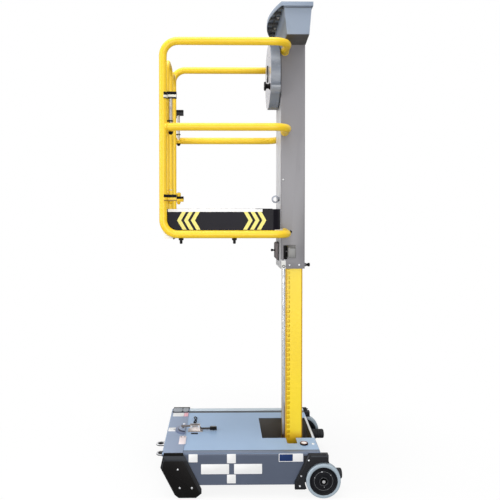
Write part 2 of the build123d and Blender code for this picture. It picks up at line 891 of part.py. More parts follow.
# Outer mast: rectangular tube with the catch window, corner notch and shaft holes
mast_mid = (mast_front + mast_rear) / 2
lock_z = mast_bottom + lock_height
window_low = catch_z + catch_wall
window_high = catch_z + catch_height - catch_wall
window_right = catch_slot_x + catch_slot_width / 2
with BuildPart() as outer_mast:
    with BuildSketch(Plane.XY.offset(mast_bottom)):
        with Locations((mast_mid, 0)):
            RectangleRounded(mast_depth, mast_width, mast_corner)
            Rectangle(mast_depth - 2 * mast_wall, mast_width - 2 * mast_wall, mode=Mode.SUBTRACT)
    extrude(amount=mast_length)
    round_bar(lock_knob_radius, (mast_rear, lock_y, lock_z), (mast_rear + lock_bush, lock_y, lock_z))
    round_bar(
        plunger_radius + running_fit,
        (mast_inner_rear, lock_y, lock_z),
        (mast_rear + lock_bush, lock_y, lock_z),
        mode=Mode.SUBTRACT,
    )
    block_between(
        (mast_inner_front, -mast_half, mast_bottom),
        (mast_inner_front + corner_notch_width, -mast_inner_half, mast_bottom + corner_notch_height),
        mode=Mode.SUBTRACT,
    )
    block_between(
        (catch_left - catch_window_width, -mast_half, window_low),
        (window_right, -mast_inner_half, window_high),
        mode=Mode.SUBTRACT,
    )
    for radius, height in ((shaft_radius, crank_z), (pinion_shaft_radius, pinion_z)):
        round_bar(
            radius + running_fit, (mast_front, 0, height), (mast_inner_front, 0, height), mode=Mode.SUBTRACT
        )
write(outer_mast, "outer_mast")

with BuildPart() as mast_head:
    block_between(
        (mast_inner_front, -mast_inner_half, mast_top - head_thickness),
        (mast_inner_rear, mast_inner_half, mast_top),
    )
write(mast_head, "mast_head")

# Slide pads in the foot of the mast: one corner block beside each column edge
with BuildPart() as lower_pads:
    block_low = mast_bottom + slide_gap
    block_high = mast_bottom + pad_height
    for s, _ in sides:
        low, high = sorted((s * (column_half + slide_gap), s * mast_inner_half))
        inner_low, inner_high = sorted((s * (column_half - pad_grip), s * (column_half + slide_gap)))
        block_between((mast_inner_front, low, block_low), (column_front + column_corner, high, block_high))
        block_between(
            (mast_inner_front, inner_low, block_low),
            (column_front - slide_gap, inner_high, block_high),
        )
        block_between((column_rear - pad_grip, low, block_low), (mast_inner_rear, high, block_high))
        block_between(
            (column_rear + slide_gap, inner_low, block_low),
            (mast_inner_rear, inner_high, block_high),
        )
write(lower_pads, "lower_pads")

# Pinion: shaft with brake drum, chain sprocket and teeth in one turned piece
base_radius = pitch_radius * cos(radians(pressure_angle))
tip_radius = pitch_radius + tooth_module
root_radius = pitch_radius - tooth_module - tooth_tip_gap
drum_front = mast_front - brake_depth + brake_wall + drum_gap
drum_back = mast_front - drum_gap


def tooth_half_angle(radius):
    """Half the angle that an involute tooth takes at a radius."""
    turn = acos(min(1, base_radius / radius))
    pitch_turn = radians(pressure_angle)
    pitch_half = (tooth_pitch / 4 - tooth_backlash / 2) / pitch_radius
    return pitch_half + (tan(pitch_turn) - pitch_turn) - (tan(turn) - turn)


def flank_points(sign):
    """Points up one flank of a tooth that points along the sketch's own X."""
    steps = 4
    radii = [base_radius + (tip_radius - base_radius) * step / steps for step in range(steps + 1)]
    return [(r * cos(tooth_half_angle(r)), sign * r * sin(tooth_half_angle(r))) for r in radii]


with BuildSketch() as tooth:
    with BuildLine():
        upper = flank_points(1)
        lower = flank_points(-1)
        Spline(*upper)
        Line(upper[-1], lower[-1])
        Spline(*lower)
        Polyline(upper[0], (0, upper[0][1]), (0, lower[0][1]), lower[0])
    make_face()
with BuildPart() as drive_pinion:
    round_bar(pinion_shaft_radius, (drum_front, 0, pinion_z), (column_front - slide_gap, 0, pinion_z))
    round_bar(drum_radius, (drum_front, 0, pinion_z), (drum_back, 0, pinion_z))
    round_bar(sprocket_radius, (chain_front, 0, pinion_z), (chain_front + chain_width, 0, pinion_z))
    with BuildSketch(Plane(origin=(rack_front + slide_gap, 0, pinion_z), x_dir=(0, 1, 0), z_dir=(1, 0, 0))):
        Circle(root_radius)
        with PolarLocations(0, pinion_teeth, start_angle=180):
            add(tooth.sketch)
    extrude(amount=rack_width - 2 * slide_gap)
write(drive_pinion, "drive_pinion")

# Brake housing over the drum, with the pull knob of the brake
brake_front = mast_front - brake_depth
brake_low = pinion_z - brake_height / 2
brake_high = pinion_z + brake_height / 2
brake_outline = (
    (mast_front, brake_low),
    (brake_front + brake_bevel, brake_low),
    (brake_front, brake_low + brake_bevel),
    (brake_front, brake_high - brake_bevel / 2),
    (brake_front + brake_bevel / 2, brake_high),
    (mast_front, brake_high),
)
plunger_z = pinion_z + drum_radius / 6
with BuildPart() as brake_housing:
    with BuildSketch(Plane.XZ):
        with BuildLine():
            Polyline(*brake_outline, close=True)
        make_face()
    extrude(amount=brake_width / 2, both=True)
    block_between(
        (brake_front + brake_wall, brake_wall - brake_width / 2, brake_low + brake_bevel),
        (mast_front, brake_width / 2 - brake_wall, brake_high - brake_bevel / 2),
        mode=Mode.SUBTRACT,
    )
    round_bar(
        plunger_radius + running_fit,
        (brake_front, 0, plunger_z),
        (brake_front + brake_wall, 0, plunger_z),
        mode=Mode.SUBTRACT,
    )
write(brake_housing, "brake_housing")

with BuildPart() as brake_knob:
    round_bar(plunger_radius, (brake_front - slide_gap, 0, plunger_z), (drum_front - slide_gap, 0, plunger_z))
    round_bar(
        plunger_knob_radius,
        (brake_front - slide_gap - plunger_knob_length, 0, plunger_z),
        (brake_front - slide_gap, 0, plunger_z),
    )
    fillet(brake_knob.edges().group_by(Axis.X)[0], plunger_knob_length / 4)
write(brake_knob, "brake_knob")

# Spring plunger on the back of the mast
with BuildPart() as lock_knob:
    knob_start = mast_rear + lock_bush + slide_gap
    round_bar(plunger_radius, (mast_inner_rear + slide_gap, lock_y, lock_z), (knob_start, lock_y, lock_z))
    round_bar(lock_knob_radius, (knob_start, lock_y, lock_z), (mast_rear + lock_knob_length, lock_y, lock_z))
    fillet(lock_knob.edges().group_by(Axis.X)[-1], lock_knob_radius / 4)
write(lock_knob, "lock_knob")

# Safety catch: box on the near side of the mast and the pawl inside it
pawl_pivot_y = -mast_half - pawl_standoff
pawl_pivot_z = pawl_tip_z + pawl_drop
pawl_low_x = catch_slot_x - pawl_thickness / 2
with BuildPart() as catch_housing:
    block_between((catch_left, -catch_outer, catch_z), (catch_right, -mast_half, catch_z + catch_height))
    block_between(
        (catch_left + catch_wall, -catch_outer + catch_wall, catch_z + catch_wall),
        (catch_right - catch_wall, -mast_half, catch_z + catch_height - catch_wall),
        mode=Mode.SUBTRACT,
    )
    round_bar(
        pawl_pivot_radius,
        (catch_left, pawl_pivot_y, pawl_pivot_z),
        (catch_right, pawl_pivot_y, pawl_pivot_z),
    )
write(catch_housing, "catch_housing")

with BuildPart() as catch_pawl:
    round_bar(
        pawl_bar,
        (pawl_low_x, pawl_pivot_y, pawl_pivot_z),
        (pawl_low_x + pawl_thickness, pawl_pivot_y, pawl_pivot_z),
    )
    block_between(
        (pawl_low_x, pawl_pivot_y - pawl_bar, pawl_tip_z - pawl_tip / 2),
        (pawl_low_x + pawl_thickness, pawl_pivot_y, pawl_pivot_z),
    )
    block_between(
        (pawl_low_x, pawl_pivot_y, pawl_tip_z - pawl_tip / 2),
        (pawl_low_x + pawl_thickness, -column_half - pawl_gap, pawl_tip_z + pawl_tip / 2),
    )
    round_bar(
        pawl_pivot_radius + running_fit,
        (pawl_low_x, pawl_pivot_y, pawl_pivot_z),
        (pawl_low_x + pawl_thickness, pawl_pivot_y, pawl_pivot_z),
        mode=Mode.SUBTRACT,
    )
write(catch_pawl, "catch_pawl")

# Anchor eye on the front of the mast
eye_z = platform_level + eye_above_floor
eye_x = mast_front - eye_collar - eye_radius + eye_thickness / 4
with BuildPart() as anchor_eye:
    round_bar(
        eye_radius,
        (eye_x, eye_y - eye_thickness / 2, eye_z),
        (eye_x, eye_y + eye_thickness / 2, eye_z),
    )
    round_bar(eye_thickness, (eye_x + eye_hole_radius, eye_y, eye_z), (mast_front, eye_y, eye_z))
    round_bar(
        eye_hole_radius,
        (eye_x, eye_y - eye_thickness, eye_z),
        (eye_x, eye_y + eye_thickness, eye_z),
        mode=Mode.SUBTRACT,
    )
write(anchor_eye, "anchor_eye")

# Screws in the sides of the mast
pad_screw_z = mast_bottom + pad_height / 2 - 2 * screw_radius
mast_screw_spots = (
    (mast_front + pad_screw_setback, pad_screw_z),
    (mast_rear - pad_grip + screw_radius, pad_screw_z),
    (mast_inner_front + 2 * screw_radius, eye_z + toe_height),
)
with BuildPart() as mast_screws:
    for s, _ in sides:
        button_heads([(x, s * mast_half, z) for x, z in mast_screw_spots], (0, s, 0))
write(mast_screws, "mast_screws")

# Crank wheel: dished disc with a deep rim, knob carrier and knob pin
crank_radius = crank_diameter / 2
carrier_y = cos(radians(carrier_angle))
carrier_z = sin(radians(carrier_angle))
carrier_plane = Plane(origin=(crank_front, 0, crank_z), x_dir=(0, carrier_y, carrier_z), z_dir=(1, 0, 0))
knob_y = knob_pitch_radius * carrier_y
knob_z = crank_z + knob_pitch_radius * carrier_z
pin_front = crank_front - slide_gap - knob_length
with BuildPart() as crank_wheel:
    with BuildSketch(Plane(origin=(0, 0, crank_z), x_dir=(1, 0, 0), z_dir=(0, -1, 0))):
        with BuildLine():
            Polyline(
                (crank_front, shaft_radius + running_fit),
                (crank_front, crank_radius),
                (crank_back, crank_radius),
                (crank_back, crank_radius - crank_rim),
                (crank_front + crank_disc, crank_radius - crank_rim),
                (crank_front + crank_disc, crank_hub_radius),
                (crank_front + crank_hub_length, crank_hub_radius),
                (crank_front + crank_hub_length, shaft_radius + running_fit),
                close=True,
            )
        make_face()
    revolve(axis=Axis((0, 0, crank_z), (1, 0, 0)))
    rim_edges = crank_wheel.edges().filter_by(GeomType.CIRCLE).group_by(SortBy.RADIUS)[-1]
    fillet(rim_edges, crank_edge_radius)
    with BuildSketch(carrier_plane):
        with Locations((crank_radius - crank_rim, 0)):
            Rectangle(2 * (crank_rim + carrier_proud), carrier_length)
    extrude(amount=crank_depth)
    round_bar(knob_pin_radius, (pin_front, knob_y, knob_z), (crank_front, knob_y, knob_z))
write(crank_wheel, "crank_wheel")

with BuildPart() as crank_knob:
    with BuildSketch(Plane(origin=(0, knob_y, knob_z), x_dir=(1, 0, 0), z_dir=(0, -1, 0))):
        with BuildLine():
            knob_back = crank_front - slide_gap
            bore = knob_pin_radius + running_fit
            Line((knob_back, bore), (knob_back, knob_back_radius))
            Spline(
                (knob_back, knob_back_radius),
                (knob_back - knob_length / 2, knob_waist_radius),
                (pin_front + knob_front_band, knob_radius),
            )
            Polyline(
                (pin_front + knob_front_band, knob_radius),
                (pin_front, knob_radius - knob_front_band / 4),
                (pin_front, bore),
                (knob_back, bore),
            )
        make_face()
    revolve(axis=Axis((0, knob_y, knob_z), (1, 0, 0)))
write(crank_knob, "crank_knob")

# Crank shaft with its nut and the upper sprocket, in a flanged bearing on the mast
with BuildPart() as crank_shaft:
    round_bar(shaft_radius, (crank_front, 0, crank_z), (chain_front + chain_width, 0, crank_z))
    round_bar(sprocket_radius, (chain_front, 0, crank_z), (chain_front + chain_width, 0, crank_z))
    with BuildSketch(Plane(origin=(crank_front, 0, crank_z), x_dir=(0, 1, 0), z_dir=(-1, 0, 0))):
        RegularPolygon(axle_head_radius, 6)
    extrude(amount=axle_head_length)
write(crank_shaft, "crank_shaft")

with BuildPart() as crank_bearing:
    round_bar(bearing_radius, (mast_front - bearing_length, 0, crank_z), (mast_front, 0, crank_z))
    round_bar(
        shaft_radius + running_fit,
        (mast_front - bearing_length, 0, crank_z),
        (mast_front, 0, crank_z),
        mode=Mode.SUBTRACT,
    )
    fillet(crank_bearing.edges().group_by(Axis.X)[0], crank_edge_radius)
write(crank_bearing, "crank_bearing")

# Drive chain round both sprockets, drawn as one closed band
with BuildPart() as drive_chain:
    with BuildSketch(Plane.YZ.offset(chain_front)):
        with Locations((0, (crank_z + pinion_z) / 2)):
            band = 2 * (sprocket_radius + slide_gap)
            SlotCenterToCenter(crank_z - pinion_z, band + 2 * chain_thickness, rotation=90)
            SlotCenterToCenter(crank_z - pinion_z, band, rotation=90, mode=Mode.SUBTRACT)
    extrude(amount=chain_width)
write(drive_chain, "drive_chain")

# Guard rails: one bent frame and one middle rail on each side
for s, side in sides:
    with BuildPart() as frame:
        bent_tube(
            (
                (rail_end, s * mast_half, mid_rail),
                (rail_end, s * cage_half, mid_rail),
                (entry_post, s * cage_half, mid_rail),
            ),
            tube_bend,
            tube_diameter,
            tube_wall,
        )
        round_bar(
            tube_radius - tube_wall,
            (entry_post, s * cage_half, bottom_rail + tube_bend),
            (entry_post, s * cage_half, top_rail - tube_bend),
            mode=Mode.SUBTRACT,
        )
        bent_tube(
            (
                (rail_end, s * mast_half, top_rail),
                (rail_end, s * cage_half, top_rail),
                (entry_post, s * cage_half, top_rail),
                (entry_post, s * cage_half, bottom_rail),
                (rail_end, s * cage_half, bottom_rail),
                (rail_end, s * mast_half, bottom_rail),
            ),
            tube_bend,
            tube_diameter,
            tube_wall,
        )
    write(frame, f"side_frame_{side}")

# Platform: pressed channel bearers and two arms to the mast, floor plate with a folded entry lip
floor_under = platform_level - floor_thickness
floor_front = entry_post - floor_overhang
floor_rear = mast_front - slide_gap
floor_half = cage_half - tube_radius - slide_gap
bearer_low = floor_under - bearer
bearer_places = (gate_x + bearer, (gate_x + mast_front) / 2, mast_front - toe_return)
arm_y = mast_half / 2 + bearer / 2
with BuildPart() as floor_frame:
    for inset, mode in ((0, Mode.ADD), (sheet, Mode.SUBTRACT)):
        half = bearer / 2 - inset
        for place in bearer_places:
            block_between(
                (place - half, -floor_half, bearer_low),
                (place + half, floor_half, floor_under - inset),
                mode,
            )
        for s, _ in sides:
            block_between(
                (bearer_places[0], s * arm_y - half, bearer_low),
                (mast_front, s * arm_y + half, floor_under - inset),
                mode,
            )
write(floor_frame, "floor_frame")

with BuildPart() as platform_floor:
    block_between((floor_front, -floor_half, floor_under), (floor_rear, floor_half, platform_level))
    block_between(
        (floor_front, -floor_half, platform_level - lip_depth),
        (floor_front + sheet, floor_half, floor_under),
    )
    block_between(
        (floor_front, -floor_half, platform_level - lip_depth),
        (floor_front + lip_return, floor_half, platform_level - lip_depth + sheet),
    )
    fillet(platform_floor.edges().filter_by(Axis.Z).group_by(Axis.X)[-1], tube_bend - tube_radius)
write(platform_floor, "platform_floor")

# Toe boards standing along the floor edges and turning in at the mast
toe_y = floor_half - toe_thickness
toe_start = entry_post + toe_post_gap
toe_end = mast_front - toe_rear_gap
for s, side in sides:
    with BuildPart() as toe_board:
        with BuildSketch(Plane.XY.offset(platform_level)):
            with BuildLine():
                FilletPolyline(
                    (toe_start, s * toe_y),
                    (toe_end, s * toe_y),
                    (toe_end, s * (toe_y - toe_return)),
                    radius=toe_bend,
                )
            trace(line_width=toe_thickness)
        extrude(amount=toe_height)
    write(toe_board, f"toe_board_{side}")

# Bolts through the bottom rails, with their nuts underneath
bolt_places = (entry_post + floor_bolt_setback, entry_post + floor_bolt_setback + floor_bolt_spacing)
with BuildPart() as floor_bolts:
    for s, _ in sides:
        for place in bolt_places:
            under_rail = Plane(origin=(place, s * cage_half, bottom_rail - tube_radius), z_dir=(0, 0, -1))
            with BuildSketch(under_rail):
                RegularPolygon(floor_nut_radius, 6)
            extrude(amount=floor_nut_height)
            with BuildSketch(under_rail):
                Circle(floor_bolt_radius)
            extrude(amount=floor_bolt_drop)
    chamfer(floor_bolts.edges().group_by(Axis.Z)[0], floor_bolt_end)
write(floor_bolts, "floor_bolts")

# Entry gate: two spring-closed leaves on hinge rods beside the posts
upper_bracket = top_rail - gate_bracket_drop
lower_bracket = platform_level + gate_bracket_rise
bracket_heights = (upper_bracket, lower_bracket)
rod_low = upper_bracket - gate_rod_length
bracket_end = gate_x + gate_bracket_reach
with BuildPart() as gate_brackets:
    for s, _ in sides:
        for height in bracket_heights:
            low, high = sorted((s * (gate_y - gate_eye_radius), s * (cage_half - tube_radius)))
            block_between(
                (entry_post, low, height - gate_bracket_height / 2),
                (bracket_end, high, height + gate_bracket_height / 2),
            )
            round_bar(
                tube_radius + hang_gap,
                (entry_post, s * cage_half, height - gate_bracket_height),
                (entry_post, s * cage_half, height + gate_bracket_height),
                mode=Mode.SUBTRACT,
            )
            round_bar(
                gate_rod_radius + running_fit,
                (gate_x, s * gate_y, height - gate_bracket_height),
                (gate_x, s * gate_y, height + gate_bracket_height),
                mode=Mode.SUBTRACT,
            )
write(gate_brackets, "gate_brackets")

with BuildPart() as hinge_rods:
    for s, _ in sides:
        spot = (gate_x, s * gate_y)
        round_bar(gate_rod_radius, (*spot, rod_low), (*spot, upper_bracket + gate_bracket_height / 2))
        round_bar(
            gate_rod_radius,
            (*spot, lower_bracket - gate_bracket_height / 2),
            (*spot, lower_bracket + gate_pin_length),
        )
write(hinge_rods, "hinge_rods")

with BuildPart() as rod_caps:
    for s, _ in sides:
        spot = (gate_x, s * gate_y)
        for height in (rod_low - gate_cap_height, lower_bracket - gate_bracket_height / 2 - gate_cap_height):
            round_bar(gate_cap_radius, (*spot, height), (*spot, height + gate_cap_height))
    fillet(rod_caps.edges().filter_by(GeomType.CIRCLE), gate_cap_height / 6)
write(rod_caps, "rod_caps")

leaf_x = gate_x - gate_leaf_offset
leaf_outer = gate_y - gate_eye_reach
leaf_inner = gate_meeting_gap / 2 + gate_tube / 2
gate_bottom = platform_level + gate_floor_gap
eye_heights = (rod_low + slide_gap, lower_bracket + gate_bracket_height / 2 + slide_gap)
for s, side in sides:
    with BuildPart() as gate_leaf:
        bent_tube(
            (
                (leaf_x, s * leaf_outer, gate_top),
                (leaf_x, s * leaf_inner, gate_top),
                (leaf_x, s * leaf_inner, gate_bottom),
                (leaf_x, s * leaf_outer, gate_bottom),
            ),
            gate_bend,
            gate_tube,
            tube_wall,
            close=True,
        )
        for height in eye_heights:
            eye = Vector(gate_x, s * gate_y, height + gate_eye_length / 2)
            post = Vector(leaf_x, s * leaf_outer, height + gate_eye_length / 2)
            weld = post - (post - eye).normalized() * (gate_tube / 2 - 2 * tube_wall)
            round_bar(gate_rod_radius, eye, weld)
            bottom = (gate_x, s * gate_y, height)
            top = (gate_x, s * gate_y, height + gate_eye_length)
            round_bar(gate_eye_radius, bottom, top)
            round_bar(gate_rod_radius + running_fit, bottom, top, mode=Mode.SUBTRACT)
    write(gate_leaf, f"gate_leaf_{side}")

# Tool tray: rimmed top with a curved front, and a tapered tub on the mast head
tray_top = mast_top + tub_depth + tray_rim
tray_half = tray_width / 2
tub_half = tray_half - tub_side_margin
tub_rear = tray_rear - tray_rear_margin


with BuildSketch(Plane.XY.offset(tray_top - tray_rim)) as rim_plan:
    with BuildLine():
        front = ThreePointArc((tray_end_front, -tray_half), (tray_front, 0), (tray_end_front, tray_half))
        Polyline(front @ 1, (tray_rear, tray_half), (tray_rear, -tray_half), front @ 0)
    make_face()
with BuildSketch(Plane.XY.offset(tray_top - tray_rim)) as rim_hollow:
    offset(rim_plan.sketch_local, amount=-tray_skin)


def tub_section(height, drop, inset):
    """Rectangle of the tub, narrower further down and inset by a wall."""
    share = drop / tub_depth
    front = tub_front + tub_taper * share + inset
    rear = tub_rear - tub_rear_taper * share - inset
    half = tub_half - tub_taper * share - inset
    with BuildSketch(Plane.XY.offset(height)) as section:
        with Locations(((front + rear) / 2, 0)):
            Rectangle(rear - front, 2 * half)
    return section.sketch


with BuildPart() as tool_tray:
    extrude(rim_plan.sketch, amount=tray_rim)
    extrude(rim_hollow.sketch, amount=tray_rim - tray_skin, mode=Mode.SUBTRACT)
    loft([tub_section(tray_top, 0, 0), tub_section(mast_top, tub_depth, 0)])
    loft(
        [tub_section(tray_top, 0, tray_skin), tub_section(mast_top + tray_skin, tub_depth, tray_skin)],
        mode=Mode.SUBTRACT,
    )
    for s, _ in sides:
        with BuildSketch(Plane.YZ.offset(tub_front + tub_taper)):
            with BuildLine():
                Polyline(
                    (s * (mast_half + slide_gap), mast_top - chin_drop),
                    (s * (mast_half + slide_gap), mast_top),
                    (s * (tub_half - tub_taper), mast_top),
                    close=True,
                )
            make_face()
        extrude(amount=tub_rear - tub_rear_taper - tub_front - tub_taper)
write(tool_tray, "tool_tray")
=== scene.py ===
"""Looks of the push-around work platform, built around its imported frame."""
import json
from math import cos, pi, radians, sin, tau

import bmesh
import bpy
from mathutils import Matrix, Vector


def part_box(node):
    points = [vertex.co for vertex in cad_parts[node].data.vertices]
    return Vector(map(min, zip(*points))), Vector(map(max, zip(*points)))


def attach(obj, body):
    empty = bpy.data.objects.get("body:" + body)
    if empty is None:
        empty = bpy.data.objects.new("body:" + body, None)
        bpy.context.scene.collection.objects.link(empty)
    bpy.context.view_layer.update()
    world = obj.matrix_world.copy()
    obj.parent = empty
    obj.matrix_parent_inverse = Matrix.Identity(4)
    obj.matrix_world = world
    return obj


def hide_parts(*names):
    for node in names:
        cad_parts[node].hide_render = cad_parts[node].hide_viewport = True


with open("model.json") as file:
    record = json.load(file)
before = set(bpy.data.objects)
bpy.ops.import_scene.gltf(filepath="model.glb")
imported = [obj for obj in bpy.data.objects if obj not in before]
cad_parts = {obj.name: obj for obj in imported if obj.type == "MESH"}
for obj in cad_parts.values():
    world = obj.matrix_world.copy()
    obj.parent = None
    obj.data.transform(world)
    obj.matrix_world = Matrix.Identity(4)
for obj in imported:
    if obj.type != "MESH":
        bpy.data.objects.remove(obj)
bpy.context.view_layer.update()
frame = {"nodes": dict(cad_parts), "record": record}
nodes = frame["nodes"]
record = frame["record"]
scene = bpy.context.scene
SIDES = ((-1, "near"), (1, "far"))
WAYS = (-1, 1)
DECK_TOP = 0.255
STEP_TOP = 0.259
SIDE_FACE = 0.350
BRACKET_FACE = 0.365
MAST_FACE = 0.135
AXLE = (0.442, 0.100)
QUARTER_TURN = (0.0, 0.5, 1.0, 1.57)


class Wire:
    """A shader socket that takes part in Python sums. Each sum adds one Math node."""

    def __init__(self, nodes, socket):
        self.nodes = nodes
        self.socket = socket

    def math(self, operation, *others):
        """One Math node on this wire and others."""
        return self.nodes.node("ShaderNodeMath", {"operation": operation}, dict(enumerate((self, *others))))

    def __add__(self, other):
        return self.math("ADD", other)

    __radd__ = __add__

    def __sub__(self, other):
        return self.math("SUBTRACT", other)

    def __rsub__(self, other):
        return self.math("MULTIPLY_ADD", -1, other)

    def __mul__(self, other):
        return self.math("MULTIPLY", other)

    def __pow__(self, other):
        return self.math("POWER", other)

    def __abs__(self):
        return self.math("ABSOLUTE")

    def __mod__(self, other):
        return self.math("FLOORED_MODULO", other)

    def rise(self, low, high):
        """0 below low, 1 above high and smooth between; it falls where low is above high."""
        settings = {"interpolation_type": "SMOOTHSTEP"}
        span = {"Value": self, "From Min": low, "From Max": high}
        return self.nodes.node("ShaderNodeMapRange", settings, span)

    def inside(self, low, high, soft=0.0004):
        """1 between two values and 0 outside them."""
        return self.rise(low - soft, low + soft) * self.rise(high + soft, high - soft)


class Nodes:
    """A node tree with short ways to add nodes and to feed them."""

    def __init__(self, owner):
        owner.use_nodes = True
        self.tree = owner.node_tree

    def node(self, kind, settings=None, inputs=None, output=0):
        """Add a node, set it up, feed its sockets and give back one output."""
        made = self.tree.nodes.new(kind)
        for key, value in (settings or {}).items():
            setattr(made, key, value)
        for key, value in (inputs or {}).items():
            self.feed(made.inputs[key], value)
        return Wire(self, made.outputs[output])

    def feed(self, socket, value):
        """Link a wire to a socket, or set the socket's own value."""
        if isinstance(value, Wire):
            self.tree.links.new(value.socket, socket)
        elif hasattr(socket.default_value, "__len__") and len(socket.default_value) == 4:
            socket.default_value = (*value, 1)
        else:
            socket.default_value = value


class Finish(Nodes):
    """A material and the nodes that give it its colour, gloss and grain."""

    def __init__(self, name):
        self.material = bpy.data.materials.new(name)
        super().__init__(self.material)
        self.shader = self.tree.nodes["Principled BSDF"]
        self.place = self.node("ShaderNodeTexCoord", output="Object")
        axes = {"Vector": self.place}
        self.x, self.y, self.z = (self.node("ShaderNodeSeparateXYZ", {}, axes, output=i) for i in range(3))

    def noise(self, scale, detail=2.0, stretch=(1, 1, 1), rough=0.5):
        """Noise over the piece, in cycles per metre, stretched along some axes."""
        spot = self.node("ShaderNodeMapping", {}, {"Vector": self.place, "Scale": stretch})
        values = {"Vector": spot, "Scale": scale, "Detail": detail, "Roughness": rough}
        return self.node("ShaderNodeTexNoise", {}, values)

    def blend(self, mask, under, over):
        """One colour over another where the mask is 1."""
        return self.node("ShaderNodeMix", {"data_type": "RGBA"}, {0: mask, 6: under, 7: over}, output=2)

    def set(self, **values):
        """Feed the shader's sockets, named with underscores for spaces."""
        for key, value in values.items():
            self.feed(self.shader.inputs[key.replace("_", " ")], value)

    def relief(self, height, depth):
        """Raised and sunk detail, with its depth in metres."""
        self.set(Normal=self.node("ShaderNodeBump", {}, {"Height": height, "Distance": depth}))


def unmarked(finish, shade):
    """No markings: the shade as it is."""
    return shade


def paint(colour, dull, gloss=0.35, peel=0.00012, streak=(1, 1, 1), marks=unmarked, shine=0.5):
    """Powder coat: orange peel, faint clouds of shade, handling marks, and markings of one piece."""
    coat = Finish("paint")
    cloud = coat.noise(3.0, 3.0, streak)
    rubs = coat.noise(38.0, 5.0, streak, 0.65).rise(0.60, 0.78)
    shade = coat.blend(cloud.rise(0.35, 0.68) * 0.55, colour, dull)
    shade = coat.blend(rubs * 0.30, shade, dull)
    coat.set(Base_Color=marks(coat, shade), Specular_IOR_Level=shine)
    coat.set(Roughness=gloss + cloud * 0.08 + rubs * 0.14)
    coat.relief(coat.noise(420.0, 1.0), peel)
    return coat.material


def moulding(colour, dusty, gloss=0.5, grain=0.0002, marks=unmarked, shine=0.5):
    """Moulded plastic or rubber: leathery grain and pale dust in patches."""
    skin = Finish("moulding")
    dust = skin.noise(14.0, 5.0, rough=0.6).rise(0.52, 0.80)
    fleck = skin.noise(700.0)
    shade = skin.blend(dust * 0.45, colour, dusty)
    skin.set(Base_Color=marks(skin, shade), Specular_IOR_Level=shine)
    skin.set(Roughness=gloss + dust * 0.18 + fleck * 0.06)
    skin.relief(fleck, grain)
    return skin.material


def plating(colour, dull, gloss=0.28, marks=unmarked, share=0.9):
    """Bright zinc plate: metal with cloudy patches and fine rubbing lines."""
    metal = Finish("plating")
    cloud = metal.noise(26.0, 4.0).rise(0.35, 0.75)
    lines = metal.noise(160.0, 2.0, (1, 1, 9))
    shade = metal.blend(cloud * 0.6, colour, dull)
    metal.set(Base_Color=marks(metal, shade), Metallic=share)
    metal.set(Roughness=gloss + cloud * 0.12 + lines * 0.10)
    metal.relief(lines, 0.00004)
    return metal.material


YELLOW = (0.91, 0.605, 0.016)
YELLOW_DULL = (0.85, 0.53, 0.013)
STEP_BLUE = (0.265, 0.33, 0.46)
# Slate: the deck's blue darkened as painted shade, for the base's sides, its chassis and the deck's edge.
SHADED_DECK_SLATE = (0.086, 0.106, 0.156)
SHADED_DECK_SLATE_DULL = (0.072, 0.089, 0.131)
BLACK = (0.0065, 0.0062, 0.0066)
BLACK_DUST = (0.018, 0.018, 0.019)
WHITE = (0.88, 0.88, 0.88)
ZINC = (0.72, 0.73, 0.75)
ZINC_DULL = (0.55, 0.55, 0.56)

CHEVRON = (0.83, 0.77, 0.24)
CHEVRON_PITCH = 0.040
CHEVRON_STROKE = 0.0235
CHEVRON_SLANT = 0.58
CHEVRON_TIPS = (-0.404, 0.1144)
BOARD_MIDDLE = 1.604
BOARD_FACE = 0.3116
BOARD_STRIP = (-0.457, 0.092, 1.653, 1.672)


def board_marks(coat, shade):
    """Three chevrons towards each end of a toe board's outer face and a pale strip along its top."""
    outside = abs(coat.y).rise(BOARD_FACE - 0.0004, BOARD_FACE)
    lean = abs(coat.z - BOARD_MIDDLE) * CHEVRON_SLANT
    for place in (coat.x - CHEVRON_TIPS[0] - lean, CHEVRON_TIPS[1] - coat.x - lean):
        stroke = (place % CHEVRON_PITCH).inside(0, CHEVRON_STROKE)
        row = place.inside(0, 3 * CHEVRON_PITCH - 0.001)
        shade = coat.blend(stroke * row * outside, shade, CHEVRON)
    front, rear, low, high = BOARD_STRIP
    strip_painted_light = coat.x.inside(front, rear) * coat.z.inside(low, high)
    return coat.blend(strip_painted_light, shade, WHITE)


# Painted shade beside the deck's edge strips and a painted highlight strip behind the mast opening.
GAP_SHADE_DARK = (0.020, 0.026, 0.040)
STRIP_GAP_SHADES = ((-0.318, -0.306), (0.268, 0.302))
DECK_SHADED_EDGE_TOP = 0.2535
REAR_HIGHLIGHT_STRIP = (0.4165, -0.143, 0.192)
PAINTED_HIGHLIGHT_PALE = (0.80, 0.82, 0.86)


def deck_marks(coat, shade):
    """Painted shade in the gaps beside the edge strips, the deck's edge painted in the shaded slate, and a
    painted highlight strip behind the mast opening.
    """
    for low, high in STRIP_GAP_SHADES:
        shade = coat.blend(coat.y.inside(low, high, 0.001), shade, GAP_SHADE_DARK)
    start, low, high = REAR_HIGHLIGHT_STRIP
    highlight_strip = coat.x.rise(start - 0.001, start) * coat.y.inside(low, high)
    shade = coat.blend(highlight_strip, shade, PAINTED_HIGHLIGHT_PALE)
    return coat.blend(coat.z.rise(DECK_SHADED_EDGE_TOP, DECK_SHADED_EDGE_TOP - 0.002), shade, SHADED_DECK_SLATE)


CHASSIS_WALL = (0.3475, 0.347)
CHASSIS_ENDS = (-0.4345, 0.4295)
# Gray of the chassis' inside stands in for the shade in the opening.
CHASSIS_INSIDE_SHADE = (0.20, 0.19, 0.18)


